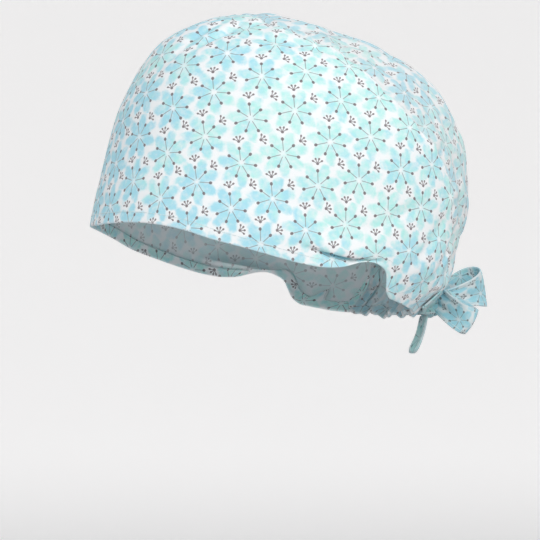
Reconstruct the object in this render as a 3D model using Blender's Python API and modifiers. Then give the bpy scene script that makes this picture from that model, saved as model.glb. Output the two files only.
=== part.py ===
"""A tie-back surgical scrub cap with the shape it has when worn.

Metres, +Z up. The wearer faces -Y and the wearer's left is +X. The origin is the middle of the
head opening. Sizes are driven by the constants below; tables hold shares of them.
"""

import math

import bmesh
import bpy
import numpy as np
from mathutils import Matrix, Vector

# Head opening and dome, measured square to the opening, which drops towards the nape
FRONT_REACH = 0.0930
BACK_REACH = 0.0910
HALF_WIDTH = 0.0780
CROWN_HEIGHT = 0.1300
OPENING_TILT = math.radians(14.5)
PLAN_SQUARENESS = 2.15
PLAN_EGG = 0.04
OPENING_BELOW_ORIGIN = 0.0050

# Cloth
CLOTH = 0.0012
SEAM_GAP = 0.0003
CLOTH_UP = 1.5  # length of the cloth from hem to top, as a share of CROWN_HEIGHT
EAR_LIFT = 0.0130
FOLD_DEPTH = 0.0030
GATHER_DEPTH = 0.0018
GATHERS_AROUND = 26
GATHER_FADE = 0.26
GATHER_SPREAD = math.radians(42)
NAPE_PINCH = 0.0035
PINCH_RISE = 0.070
PINCH_SPREAD = 0.050
PINCH_WIDTH = 0.024

# Ties and bow
STRAP_WIDTH = 0.0200
STRAP_THICKNESS = 0.0014
KNOT_WIDTH = 0.0140
KNOT_DEPTH = 0.0110
KNOT_HEIGHT = 0.0130
KNOT_RISE = 0.041
KNOT_SQUARENESS = 3
WRAPS = 9
WRAP_SLANT = 0.6
WRAP_DEPTH = 0.06
TIE_START = math.radians(140)
TIE_START_RISE = 0.055
TIE_START_SPREAD = 0.75
TIE_END_SPREAD = 0.45
TIE_LIFT_OFF = 0.45
LEFT_LOOP_LENGTH = 0.0290
RIGHT_LOOP_LENGTH = 0.0385
LOOP_OPENING = 0.0110
LOOP_ROOT_SPREAD = 0.50
TAIL_LENGTH = 0.0180
TAIL_ROOT_SPREAD = 0.45
TAIL_TIP_SPREAD = 0.65
TAIL_ASIDE = 0.18
TAIL_CURL = 0.06
TAIL_TWIST = 0.15

# Mesh density: steps along half of the seam, the cap's rows, and steps along and across the straps
SEAM_STEPS = 40
REAR_STEPS = 4
SIDE_ROWS = 14
HEM_CROWDING = 1.4
TIE_STEPS = 14
LOOP_STEPS = 22
TAIL_STEPS = 8
ACROSS_STEPS = 4
KNOT_STEPS = 24
AT_EDGE = 0.999
CREEP = 0.00005

PRINT_GROUND = (0.62, 0.86, 0.90, 1.0)

# Sections from the hem (rise 0) to the top of the dome (rise 1), as shares of CROWN_HEIGHT,
# FRONT_REACH, BACK_REACH and HALF_WIDTH. A negative back share lies in front of the centre.
# Columns: rise, height, front, back, side
SECTIONS = (
    (0.00, 0.000, 0.990, 0.824, 0.950),
    (0.05, 0.071, 0.995, 0.907, 0.980),
    (0.10, 0.142, 1.000, 0.971, 1.000),
    (0.15, 0.220, 1.000, 0.989, 1.000),
    (0.21, 0.315, 1.000, 0.987, 1.000),
    (0.27, 0.402, 1.000, 0.990, 1.000),
    (0.34, 0.504, 0.995, 0.965, 0.985),
    (0.41, 0.606, 0.968, 0.925, 0.955),
    (0.48, 0.701, 0.930, 0.868, 0.900),
    (0.55, 0.787, 0.860, 0.790, 0.820),
    (0.63, 0.866, 0.745, 0.675, 0.700),
    (0.71, 0.922, 0.630, 0.500, 0.545),
    (0.80, 0.965, 0.480, 0.300, 0.370),
    (0.90, 0.993, 0.300, 0.040, 0.185),
    (1.00, 1.000, 0.148, -0.154, 0.000),
)

# Height of the hem over the plane of the opening, as a share of EAR_LIFT
# Columns: angle in degrees from the front, lift
HEM = (
    (0, 0.22),
    (14, 0.28),
    (24, 0.36),
    (33, 0.42),
    (47, 0.41),
    (58, 0.29),
    (70, 0.25),
    (80, 0.22),
    (90, 0.24),
    (96, 0.33),
    (101, 0.54),
    (105, 0.87),
    (108, 1.00),
    (112, 0.97),
    (115.5, 0.83),
    (118.5, 0.55),
    (121.5, 0.27),
    (126, 0.03),
    (135, 0.00),
    (155, 0.00),
    (180, 0.04),
)

# The seam between the panels, from the front of the crown (around 0) to the nape (around 1), on the
# dome flattened to a disc with the top at its middle and the hem at its rim
# Columns: around, aside, behind
SEAM = (
    (0.00, 0.000, -0.215),
    (0.10, 0.150, -0.210),
    (0.20, 0.282, -0.168),
    (0.33, 0.380, -0.032),
    (0.45, 0.465, 0.088),
    (0.57, 0.500, 0.240),
    (0.70, 0.485, 0.430),
    (0.82, 0.505, 0.610),
    (0.91, 0.520, 0.735),
    (1.00, 0.530, 0.848),
)
CROWN_CORNER = 0.2

# Soft folds and dents of the cloth, mirrored on both sides: place, size as shares of HALF_WIDTH,
# turn in degrees and depth as a share of FOLD_DEPTH, positive inwards
# Columns: angle, rise, along, across, turn, depth
FOLDS = (
    (97, 0.064, 0.19, 0.035, 3, 1.00),
    (92, 0.120, 0.30, 0.100, -20, 0.35),
    (28, 0.560, 0.45, 0.120, 35, 0.50),
    (8, 0.760, 0.30, 0.070, 20, 0.40),
    (180, 0.215, 0.55, 0.070, 0, 0.70),
    (150, 0.150, 0.25, 0.060, 40, 0.60),
)

# The bow's loops: where each leaves the knot and where it reaches, in degrees from straight back
# towards the left, its climb and roll, and its fullness as a share of STRAP_WIDTH
# Columns: length, root, sideways, climb, roll, spread
BOW_LOOPS = {
    "bow_loop_left": (LEFT_LOOP_LENGTH, 30, 78, -16, -12, 0.75),
    "bow_loop_right": (RIGHT_LOOP_LENGTH, -25, -28, 11, 6, 1.00),
}

# The free ends: side of the knot, place behind its centre as a share of KNOT_DEPTH, lean in degrees
# Columns: sideways, behind, lean
TIE_TAILS = {
    "tie_tail_left": (1, -0.34, 24),
    "tie_tail_right": (-1, -0.11, 15),
}


def smooth_table(rows, at):
    """Reads a table at a value of its first column, with a smooth curve through its rows."""
    rows = np.array(rows, float)
    places, values = rows[:, 0], rows[:, 1:]
    slopes = np.gradient(values, places, axis=0)
    at = min(max(at, places[0]), places[-1])
    i = min(max(int(np.searchsorted(places, at)) - 1, 0), len(places) - 2)
    span = places[i + 1] - places[i]
    t = (at - places[i]) / span
    start = (1 + 2 * t) * (1 - t) ** 2
    end = t * t * (3 - 2 * t)
    leave = span * t * (1 - t) ** 2
    arrive = span * t * t * (t - 1)
    return start * values[i] + end * values[i + 1] + leave * slopes[i] + arrive * slopes[i + 1]


def over_the_top(sections):
    """Adds the first section past the top, so that the dome runs smoothly over it."""
    rise, height, front, back, side = sections[-2]
    front_there = -back * BACK_REACH / FRONT_REACH
    back_there = -front * FRONT_REACH / BACK_REACH
    return sections + ((2 - rise, height, front_there, back_there, -side),)


DOME = over_the_top(SECTIONS)


def fade(value, end):
    """Falls smoothly from 1 at zero to 0 at the end."""
    t = min(max(abs(value) / end, 0.0), 1.0)
    return 1 - t * t * (3 - 2 * t)


def around(angle):
    """The same direction as an angle from the front, from 0 to half a turn."""
    angle = (angle + math.pi) % math.tau - math.pi
    return abs(angle)


def gather_share(angle, rise):
    """How strongly the nape is gathered here, from 0 to 1."""
    return fade(rise, GATHER_FADE) * fade(math.pi - around(angle), GATHER_SPREAD)


def nape_pinch(angle, rise):
    """How far the knot draws the nape in."""
    across = (math.pi - around(angle)) * HALF_WIDTH / PINCH_WIDTH
    upwards = (rise - PINCH_RISE) / PINCH_SPREAD
    return NAPE_PINCH * math.exp(-(across**2) - upwards**2)


def fold_height(angle, rise):
    """How far folds and gathers move the cloth outwards."""
    moved = 0.0
    for place, level, along, across, turn, depth in FOLDS:
        run = (around(angle) - math.radians(place)) * HALF_WIDTH
        climb = (rise - level) * CROWN_HEIGHT * CLOTH_UP
        turn = math.radians(turn)
        lengthwise = (run * math.cos(turn) + climb * math.sin(turn)) / (along * HALF_WIDTH)
        crosswise = (climb * math.cos(turn) - run * math.sin(turn)) / (across * HALF_WIDTH)
        moved -= depth * FOLD_DEPTH * math.exp(-(lengthwise**2) - crosswise**2)
    ruffle = math.cos(GATHERS_AROUND * (math.pi - around(angle)))
    return moved + GATHER_DEPTH * gather_share(angle, rise) * ruffle - nape_pinch(angle, rise)


def dome_point(angle, rise):
    """A point of the dome without folds: angle from the front to the left, rise from hem to top."""
    height, front, back, side = smooth_table(DOME, rise)
    front, back, side = front * FRONT_REACH, back * BACK_REACH, side * HALF_WIDTH
    across, along = math.sin(angle), -math.cos(angle)
    squared = (abs(across) ** PLAN_SQUARENESS + abs(along) ** PLAN_SQUARENESS) ** (-1 / PLAN_SQUARENESS)
    across, along = across * squared, along * squared
    return Vector((
        side * across * (1 + PLAN_EGG * along),
        (back - front) / 2 + (back + front) / 2 * along,
        height * CROWN_HEIGHT - OPENING_BELOW_ORIGIN,
    ))


TO_WORN = Matrix.Rotation(-OPENING_TILT, 4, "X")


def cap_point(angle, rise, outward=0.0, folded=True):
    """A point of the cap's outer face as worn, moved outwards along its normal."""
    step = 0.004
    rise_in = min(rise, 1 - 2 * step)
    here = dome_point(angle, rise_in)
    across = dome_point(angle + step, rise_in) - here
    upwards = dome_point(angle, rise_in + step) - here
    normal = across.cross(upwards).normalized()
    if rise_in < rise:
        here = dome_point(angle, rise)
    if folded:
        outward += fold_height(angle, rise)
    return TO_WORN @ (here + normal * outward)


def hem_rise(angle):
    """The rise of the hem's edge at an angle."""
    lift = smooth_table(HEM, math.degrees(around(angle)))[0] * EAR_LIFT
    rise, height = SECTIONS[1][:2]
    return lift / (height * CROWN_HEIGHT) * rise


def cap_normal(angle, rise):
    """The outward normal of the dome."""
    return (cap_point(angle, rise, 1.0, False) - cap_point(angle, rise, 0.0, False)).normalized()


def seam_place(share):
    """Angle and rise of the seam, at a share of its length from the front, left side positive."""
    aside, behind = smooth_table(SEAM, abs(share))
    return unflattened(Vector((math.copysign(aside, share), behind)))


def flattened(angle, rise):
    """A place on the dome as a point of a flat disc, with the top of the dome at its middle."""
    return Vector(((1 - rise) * math.sin(angle), -(1 - rise) * math.cos(angle)))


def unflattened(point):
    """Angle and rise of a point of the flat disc."""
    return math.atan2(point.x, -point.y), 1 - point.length


def cloth_material():
    """Printed cotton, light blue seen from afar."""
    material = bpy.data.materials.new("printed_cotton")
    material.use_nodes = True
    shader = material.node_tree.nodes["Principled BSDF"]
    shader.inputs["Base Color"].default_value = PRINT_GROUND
    shader.inputs["Roughness"].default_value = 0.85
    shader.inputs["Metallic"].default_value = 0.0
    return material


def link(piece, name, collection, material):
    """Names a piece, gives it its material and puts it in the cap's collection."""
    piece.name = name
    piece.data.name = name
    piece.data.materials.append(material)
    collection.objects.link(piece)
    return piece


def cloth_sheet(name, columns, rows, place, thickness, inside):
    """A grid of cloth: place(across, up), both from 0 to 1, gives each of its points."""
    mesh = bpy.data.meshes.new(name)
    grid = bmesh.new()
    bmesh.ops.create_grid(grid, x_segments=columns, y_segments=rows, size=0.5)
    for corner in grid.verts:
        corner.co = place(corner.co.x + 0.5, corner.co.y + 0.5)
    grid.to_mesh(mesh)
    grid.free()
    mesh.shade_smooth()
    piece = bpy.data.objects.new(name, mesh)
    solidify = piece.modifiers.new("cloth", "SOLIDIFY")
    solidify.thickness = thickness
    solidify.offset = -1.0 if inside else 0.0
    solidify.use_even_offset = True
    return piece


def seam_point(share, aside):
    """A point of the seam, moved aside along the cloth, towards the side panel if positive."""
    step = 0.01
    angle, rise = seam_place(share)
    ahead = cap_point(*seam_place(min(share + step, 1.0)))
    behind = cap_point(*seam_place(max(share - step, -1.0)))
    towards_side = (ahead - behind).cross(cap_normal(angle, rise)).normalized()
    return cap_point(angle, rise) + towards_side * aside


def side_place(share_across, share_up):
    """The side panel: from its right rear end round the front to the left, and from hem to seam."""
    side = 2 * share_across - 1
    rear = REAR_STEPS / SEAM_STEPS
    if abs(side) > AT_EDGE:
        return seam_point(side * (1 - rear * share_up), SEAM_GAP / 2)
    share = side * (1 - rear)
    if share_up > AT_EDGE:
        return seam_point(share, SEAM_GAP / 2)
    hem_angle = side * seam_place(1.0)[0]
    seam_angle, seam_rise = seam_place(share)
    share_up = share_up**HEM_CROWDING
    angle = hem_angle + (seam_angle - hem_angle) * share_up
    rise = hem_rise(hem_angle) + (seam_rise - hem_rise(hem_angle)) * share_up
    return cap_point(angle, rise)


def crown_place(share_across, share_down):
    """The crown panel: from right to left, and from the front of the crown down to the nape."""
    side = 2 * share_across - 1
    if share_down < 1 - AT_EDGE:
        return seam_point(side * CROWN_CORNER, -SEAM_GAP / 2)
    seam_share = CROWN_CORNER + (1 - CROWN_CORNER) * share_down
    if abs(side) > AT_EDGE:
        return seam_point(math.copysign(seam_share, side), -SEAM_GAP / 2)
    front = flattened(*seam_place(side * CROWN_CORNER))
    nape_angle = math.pi - (math.pi - seam_place(1.0)[0]) * side
    nape = flattened(nape_angle, hem_rise(nape_angle))
    left = flattened(*seam_place(seam_share))
    right = Vector((-left.x, left.y))
    front_left = flattened(*seam_place(CROWN_CORNER))
    nape_left = flattened(*seam_place(1.0))
    front_right = Vector((-front_left.x, front_left.y))
    nape_right = Vector((-nape_left.x, nape_left.y))
    to_left = share_across
    lengthwise = front * (1 - share_down) + nape * share_down
    crosswise = right * (1 - to_left) + left * to_left
    corners_front = front_right * (1 - to_left) + front_left * to_left
    corners_nape = nape_right * (1 - to_left) + nape_left * to_left
    corners = corners_front * (1 - share_down) + corners_nape * share_down
    return cap_point(*unflattened(lengthwise + crosswise - corners))


def over_gathers(angle, rise, outward):
    """A point that lies over the crests of the gathers."""
    outward += GATHER_DEPTH * gather_share(angle, rise) - nape_pinch(angle, rise)
    return cap_point(angle, rise, outward, False)


def knot_centre():
    """The knot lies against the gathers at the middle of the nape, straight behind them."""
    height = over_gathers(math.pi, KNOT_RISE, 0.0).z
    half_depth = KNOT_DEPTH / 2 + SEAM_GAP
    half_height = KNOT_HEIGHT / 2 + SEAM_GAP
    back = 0.0
    for step in range(SEAM_STEPS):
        nape = over_gathers(math.pi, GATHER_FADE * step / SEAM_STEPS, 0.0)
        level = (nape.z - height) / half_height
        if abs(level) < 1:
            back = max(back, nape.y + half_depth * math.sqrt(1 - level * level))
    return Vector((0, back, height))


KNOT_CENTRE = knot_centre()
KNOT_HALF = Vector((KNOT_WIDTH, KNOT_DEPTH, KNOT_HEIGHT)) / 2


def tie_place(share_along, share_across):
    """The left tie, from the rear end of the side panel over the gathers to the knot."""
    end = math.pi - KNOT_WIDTH / 2 / HALF_WIDTH
    angle = TIE_START + (end - TIE_START) * share_along
    width = STRAP_WIDTH * (TIE_START_SPREAD + (TIE_END_SPREAD - TIE_START_SPREAD) * share_along)
    across = (share_across - 0.5) * width
    middle = TIE_START_RISE + (KNOT_RISE - TIE_START_RISE) * share_along
    rise = middle + across / (CROWN_HEIGHT * CLOTH_UP)
    on_cap = over_gathers(angle, rise, SEAM_GAP + STRAP_THICKNESS / 2)
    at_knot = KNOT_CENTRE + Vector((KNOT_WIDTH / 2 + SEAM_GAP, 0, across))
    to_knot = max(0.0, (share_along - TIE_LIFT_OFF) / (1 - TIE_LIFT_OFF)) ** 2
    return on_cap.lerp(at_knot, to_knot)


def knot_swell(out):
    """How far the knot reaches in a direction, as a share of its half sizes: wrapped, soft corners."""
    wrap = 1 - WRAP_DEPTH * (1 + math.cos(WRAPS * (out.z + WRAP_SLANT * out.x))) / 2
    square = sum(abs(part) ** KNOT_SQUARENESS for part in out) ** (-1 / KNOT_SQUARENESS)
    fullest = 3 ** (1 / 2 - 1 / KNOT_SQUARENESS)
    return wrap * (1 + square) / (1 + fullest)


def knot():
    """The knot: a rounded lump with the crossing turns of the strap."""
    ball = bmesh.new()
    bmesh.ops.create_uvsphere(ball, u_segments=KNOT_STEPS, v_segments=KNOT_STEPS // 2 + 2, radius=1.0)
    for corner in ball.verts:
        out = corner.co.normalized()
        corner.co = KNOT_CENTRE + KNOT_HALF * (out * knot_swell(out))
    mesh = bpy.data.meshes.new("tie_knot")
    ball.to_mesh(mesh)
    ball.free()
    mesh.shade_smooth()
    return bpy.data.objects.new("tie_knot", mesh)


def knot_gap(point):
    """The distance of a point from the knot, measured towards its centre and negative inside."""
    from_centre = point - KNOT_CENTRE
    scaled = Vector((from_centre.x / KNOT_HALF.x, from_centre.y / KNOT_HALF.y, from_centre.z / KNOT_HALF.z))
    return from_centre.length * (1 - knot_swell(scaled.normalized()) / scaled.length)


def against_knot(start, direction, strap, face):
    """Moves a strap out of the knot until both of its faces just clear it, and gives its start."""
    half_thickness = face * STRAP_THICKNESS / 2
    points = []
    for along in range(LOOP_STEPS + 1):
        for across in range(ACROSS_STEPS + 1):
            middle = strap(along / LOOP_STEPS, across / ACROSS_STEPS)
            points += (middle + half_thickness, middle - half_thickness)
    while min(knot_gap(start + point) for point in points) < SEAM_GAP:
        start = start + direction * CREEP
    return start


def heading(sideways, climb):
    """The direction at an angle from straight back towards the left, and above level, in degrees."""
    sideways, climb = math.radians(sideways), math.radians(climb)
    level = math.cos(climb)
    return Vector((math.sin(sideways) * level, math.cos(sideways) * level, math.sin(climb)))


def loop_place(length, root, sideways, climb, roll, spread):
    """A bow loop that leaves the knot at one heading, root, and reaches out at another."""
    leaving, out = heading(root, climb), heading(sideways, climb)
    upright = (Vector((0, 0, 1)) - out * out.z).normalized()
    width = Matrix.Rotation(math.radians(roll), 3, out) @ upright
    apart = width.cross(out)

    def strap(share_along, share_across):
        turn = math.pi * share_along
        opening = STRAP_THICKNESS * math.cos(turn) + LOOP_OPENING / 2 * math.sin(2 * turn)
        fullness = LOOP_ROOT_SPREAD + (spread - LOOP_ROOT_SPREAD) * math.sin(turn) ** 1.5
        across = STRAP_WIDTH * fullness * (share_across - 0.5)
        return out * length * math.sin(turn) + apart * opening + width * across

    start = against_knot(KNOT_CENTRE + leaving * CREEP, leaving, strap, apart)
    return lambda share_along, share_across: start + strap(share_along, share_across)


def tail_place(sideways, behind, lean):
    """A free end of the tie, hanging from under the knot with its face to the back."""
    forwards = math.tan(math.radians(lean)) * TAIL_LENGTH

    def strap(share_along, share_across):
        spread = TAIL_ROOT_SPREAD + (TAIL_TIP_SPREAD - TAIL_ROOT_SPREAD) * math.sin(share_along * math.pi / 2)
        across = (share_across - 0.5) * STRAP_WIDTH * spread
        aside = sideways * STRAP_WIDTH * TAIL_ASIDE * share_along
        curl = TAIL_CURL * TAIL_LENGTH * math.sin(math.pi * share_along)
        twist = TAIL_TWIST * across * share_along
        return Vector((aside + across, curl + twist - forwards * share_along, -TAIL_LENGTH * share_along))

    middle = KNOT_CENTRE + Vector((sideways * KNOT_WIDTH / 4, behind * KNOT_DEPTH, 0))
    start = against_knot(middle, Vector((0, 0, -1)), strap, Vector((0, 1, 0)))
    return lambda share_along, share_across: start + strap(share_along, share_across)


def mirrored(place):
    """The same cloth on the other side of the cap."""
    def other(share_along, share_across):
        point = place(share_along, 1 - share_across)
        return Vector((-point.x, point.y, point.z))
    return other


def main():
    for old in list(bpy.data.objects):
        bpy.data.objects.remove(old, do_unlink=True)
    cap = bpy.data.collections.new("surgical_scrub_cap")
    bpy.context.scene.collection.children.link(cap)
    cotton = cloth_material()

    side_columns = 2 * (SEAM_STEPS - REAR_STEPS)
    crown_columns = 2 * round(2 * SEAM_STEPS * CROWN_CORNER)
    crown_rows = round(SEAM_STEPS * (1 - CROWN_CORNER))
    side_panel = cloth_sheet("side_panel", side_columns, SIDE_ROWS, side_place, CLOTH, True)
    crown_panel = cloth_sheet("crown_panel", crown_columns, crown_rows, crown_place, CLOTH, True)
    link(side_panel, "side_panel", cap, cotton)
    link(crown_panel, "crown_panel", cap, cotton)

    straps = [("tie_left", tie_place, TIE_STEPS), ("tie_right", mirrored(tie_place), TIE_STEPS)]
    straps += [(name, loop_place(*row), LOOP_STEPS) for name, row in BOW_LOOPS.items()]
    straps += [(name, tail_place(*row), TAIL_STEPS) for name, row in TIE_TAILS.items()]
    for name, place, steps in straps:
        strap = cloth_sheet(name, steps, ACROSS_STEPS, place, STRAP_THICKNESS, False)
        link(strap, name, cap, cotton)
    link(knot(), "tie_knot", cap, cotton)


main()
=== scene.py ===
import math

import bpy
import numpy as np
from mathutils import Matrix, Vector


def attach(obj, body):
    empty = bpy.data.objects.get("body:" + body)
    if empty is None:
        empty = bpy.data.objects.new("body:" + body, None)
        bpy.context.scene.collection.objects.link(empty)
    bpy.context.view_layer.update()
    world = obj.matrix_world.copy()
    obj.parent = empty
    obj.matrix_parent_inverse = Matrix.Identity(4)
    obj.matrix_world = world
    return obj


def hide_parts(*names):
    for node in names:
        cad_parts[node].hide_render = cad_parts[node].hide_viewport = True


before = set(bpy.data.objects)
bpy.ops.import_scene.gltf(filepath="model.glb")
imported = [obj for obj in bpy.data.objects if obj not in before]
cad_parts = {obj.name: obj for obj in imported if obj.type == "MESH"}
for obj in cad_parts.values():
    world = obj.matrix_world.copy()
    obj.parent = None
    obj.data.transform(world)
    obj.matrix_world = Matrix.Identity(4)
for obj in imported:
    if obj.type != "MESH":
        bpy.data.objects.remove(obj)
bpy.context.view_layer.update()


# Camera
# A long lens level with the ear, on the wearer's left and a little in front, tilted slightly up.
LOOK_AT = Vector((-0.0017, 0.0015, 0.0003))
VIEW_AZIMUTH = 70
VIEW_ELEVATION = -2
VIEW_DISTANCE = 1.5
LENS_MM = 200
SENSOR_MM = 36


def direction(azimuth, elevation):
    """A direction, in degrees from straight ahead towards the wearer's left and above level."""
    azimuth, elevation = math.radians(azimuth), math.radians(elevation)
    level = math.cos(elevation)
    return Vector((math.sin(azimuth) * level, -math.cos(azimuth) * level, math.sin(elevation)))


towards_camera = direction(VIEW_AZIMUTH, VIEW_ELEVATION)
camera_data = bpy.data.cameras.new("camera")
camera_data.lens = LENS_MM
camera_data.sensor_width = SENSOR_MM
camera = bpy.data.objects.new("camera", camera_data)
camera.location = LOOK_AT + towards_camera * VIEW_DISTANCE
camera.rotation_euler = towards_camera.to_track_quat("Z", "Y").to_euler()
bpy.context.scene.collection.objects.link(camera)
bpy.context.scene.camera = camera


# Studio
# A pale floor far below the cap, swept up into a pale wall all round, and large soft lamps.
FLOOR_DEPTH = 0.75
FLOOR_RADIUS = 4.0
FLOOR_SIDES = 96
SWEEP_RADIUS = 1.2
SWEEP_STEPS = 12
WALL_HEIGHT = 2.6
FLOOR_GREY = (0.62, 0.62, 0.62, 1.0)
WALL_WHITE = (0.93, 0.915, 0.90, 1.0)
WALL_PAINT_RISE = 0.55
WALL_GLOW = 0.27
WALL_GLOW_COLOUR = (1.0, 0.985, 0.98, 1.0)
PAINT_ROUGHNESS = 0.95
LAMP_COLOUR = (1.0, 0.975, 0.95)
SKY_COLOUR = (0.91, 0.95, 1.0, 1.0)
SKY_STRENGTH = 0.56
# Columns: name, azimuth and elevation in degrees, distance, size, watts
SOFTBOXES = (
    ("key_softbox", 82, 23, 1.8, 0.8, 14.6),
    ("top_softbox", 185, 55, 2.2, 1.6, 4.5),
)


def studio_paint():
    """Matt paint, pale grey on the floor and nearly white up the wall."""
    material = bpy.data.materials.new("studio_paint")
    material.use_nodes = True
    tree = material.node_tree
    shader = tree.nodes["Principled BSDF"]
    place = tree.nodes.new("ShaderNodeTexCoord")
    parts = tree.nodes.new("ShaderNodeSeparateXYZ")
    tree.links.new(place.outputs["Object"], parts.inputs[0])
    height = tree.nodes.new("ShaderNodeMapRange")
    height.interpolation_type = "SMOOTHSTEP"
    height.inputs["From Min"].default_value = -FLOOR_DEPTH
    height.inputs["From Max"].default_value = WALL_PAINT_RISE - FLOOR_DEPTH
    tree.links.new(parts.outputs["Z"], height.inputs["Value"])
    mix = tree.nodes.new("ShaderNodeMix")
    mix.data_type = "RGBA"
    tree.links.new(height.outputs["Result"], mix.inputs["Factor"])
    mix.inputs[6].default_value = FLOOR_GREY
    mix.inputs[7].default_value = WALL_WHITE
    tree.links.new(mix.outputs[2], shader.inputs["Base Color"])
    shader.inputs["Roughness"].default_value = PAINT_ROUGHNESS
    # Lamps behind the wall make it glow a little
    glow = tree.nodes.new("ShaderNodeMath")
    glow.operation = "MULTIPLY"
    tree.links.new(height.outputs["Result"], glow.inputs[0])
    glow.inputs[1].default_value = WALL_GLOW
    tree.links.new(glow.outputs[0], shader.inputs["Emission Strength"])
    shader.inputs["Emission Color"].default_value = WALL_GLOW_COLOUR
    return material


def studio_floor():
    """A disc with its rim swept up into a wall."""
    bpy.ops.object.select_all(action="DESELECT")
    bpy.ops.mesh.primitive_circle_add(
        vertices=FLOOR_SIDES, radius=FLOOR_RADIUS, fill_type="NGON", location=(0, 0, -FLOOR_DEPTH)
    )
    floor = bpy.context.object
    bpy.ops.object.mode_set(mode="EDIT")
    bpy.ops.mesh.select_all(action="SELECT")
    bpy.ops.mesh.select_mode(type="EDGE")
    bpy.ops.mesh.region_to_loop()
    bends = [math.pi / 2 * step / SWEEP_STEPS for step in range(SWEEP_STEPS + 1)]
    for before, after in zip(bends, bends[1:]):
        upwards = SWEEP_RADIUS * (math.cos(before) - math.cos(after))
        bpy.ops.mesh.extrude_edges_move(TRANSFORM_OT_translate={"value": (0, 0, upwards)})
        radius = FLOOR_RADIUS + SWEEP_RADIUS * math.sin(before)
        share = (FLOOR_RADIUS + SWEEP_RADIUS * math.sin(after)) / radius
        bpy.ops.transform.resize(value=(share, share, 1), center_override=(0, 0, 0))
    bpy.ops.mesh.extrude_edges_move(TRANSFORM_OT_translate={"value": (0, 0, WALL_HEIGHT)})
    bpy.ops.object.mode_set(mode="OBJECT")
    bpy.ops.object.transform_apply(location=True, rotation=True, scale=True)
    floor.name = "studio_floor"
    floor.data.shade_smooth()
    floor.data.materials.append(studio_paint())


def softbox(name, azimuth, elevation, distance, size, watts):
    """A square lamp that faces the cap."""
    towards_lamp = direction(azimuth, elevation)
    lamp_data = bpy.data.lights.new(name, "AREA")
    lamp_data.size = size
    lamp_data.energy = watts
    lamp_data.color = LAMP_COLOUR
    lamp = bpy.data.objects.new(name, lamp_data)
    lamp.location = towards_lamp * distance
    lamp.rotation_euler = towards_lamp.to_track_quat("Z", "Y").to_euler()
    bpy.context.scene.collection.objects.link(lamp)


studio_floor()
for row in SOFTBOXES:
    softbox(*row)
world = bpy.data.worlds.new("studio")
world.use_nodes = True
world.node_tree.nodes["Background"].inputs["Color"].default_value = SKY_COLOUR
world.node_tree.nodes["Background"].inputs["Strength"].default_value = SKY_STRENGTH
bpy.context.scene.world = world
bpy.context.scene.view_settings.view_transform = "Standard"


# Side panel
# One strip of printed cotton that wraps the forehead and both sides. Its lower edge and the edge
# sewn to the crown are turned in and pressed flat. Over the ear the cloth is tucked above the hem.
FRONT_REACH = 0.0930
BACK_REACH = 0.0910
HALF_WIDTH = 0.0780
CROWN_HEIGHT = 0.1300
OPENING_TILT = math.radians(14.5)
PLAN_SQUARENESS = 2.15
PLAN_EGG = 0.04
OPENING_BELOW_ORIGIN = 0.0050
CLOTH_UP = 1.5
CLOTH_HEIGHT = CROWN_HEIGHT * CLOTH_UP
NORMAL_STEP = 0.004
MILLIMETRE = 0.001
FOLD_DEPTH = 0.0030
EAR_LIFT = 0.0130
NAPE_PINCH = 0.0035
PINCH_RISE = 0.070
PINCH_SPREAD = 0.050
PINCH_WIDTH = 0.024
REAR_SHARE = 0.10
REAR_BLEND = 0.2
SIDE_HEIGHT = 0.16
SIDE_LENGTH = 0.50

COTTON = 0.0005
TURN_RADIUS = 0.0007
TURNING_STEPS = 7
BEND_STEPS = 5
HEM_WIDTH = 0.0065
ALLOWANCE = 0.0060
NARROWEST_TURNING = 0.08
SIDE_COLUMNS = 330
SIDE_ROWS = 92
EVEN_SHARE = 0.4
HEM_CROWDING = 1.6
ROUGH_LENGTH = 0.5
ROUGH_HEIGHT = 0.12
PROBE_STEP = 0.01
WEAR_REACH = 0.0009
FLAT_COLUMNS = 132
FLAT_ROWS = 30
UNWRAP_ROUNDS = 60
SIDE_UPRIGHT_AT = (0.78, 0.5)
SIDE_ORIGIN = (0.0, 0.0)

# Gathers at the nape
# Columns of the waves: waves for each gather, start, height
GATHER_DEPTH = 0.0018
GATHERS_AROUND = 26
GATHER_FADE = 0.26
GATHER_SPREAD = math.radians(42)
GATHER_WAVES = ((1.0, 0.0, 1.0), (2.3, 1.0, 0.25))

# Easing puckers along the seam
# Columns of the waves: waves along the seam, start, height
SEAM_PUCKER = 0.00045
SEAM_PUCKER_REACH = 0.013
SEAM_PUCKER_WAVES = ((61, 1.3, 1.0), (103, 0.4, 0.7), (171, 0.0, 0.5))
SEAM_VALLEY = 0.0012
SEAM_VALLEY_REACH = 0.0020

# Crinkles of the eased crown, which wander as they run
# Columns: runs across the crown, waves, start, height, then width, waves and start of each sway
CRINKLE_DEPTH = 0.00070
CRINKLE_REACH = 0.012
CRINKLE_AT_SEAM = 0.35
CRINKLE_SINK = 0.9
CRINKLES = (
    (True, 88, 0.0, 1.0, ((2.0, 9, 1.0), (0.8, 31, 0.0))),
    (True, 51, 2.0, 0.6, ((-1.5, 13, 0.0),)),
    (False, 47, 0.0, 0.5, ((2.2, 17, 0.0),)),
)

# Slow unevenness of soft cloth
# Columns: height, then waves around, waves up and start of each of two crossed waves
SLOW_DEPTH = 0.00055
SLOW_LEVEL = 0.45
SLOW_SPREAD = 0.5
SLOW_WAVES = (
    (1.0, 3.1, 5.0, 0.6, -1.7, 11.0, 0.0),
    (0.6, 6.3, -9.0, 2.0, 2.2, 17.0, 0.7),
)

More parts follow.
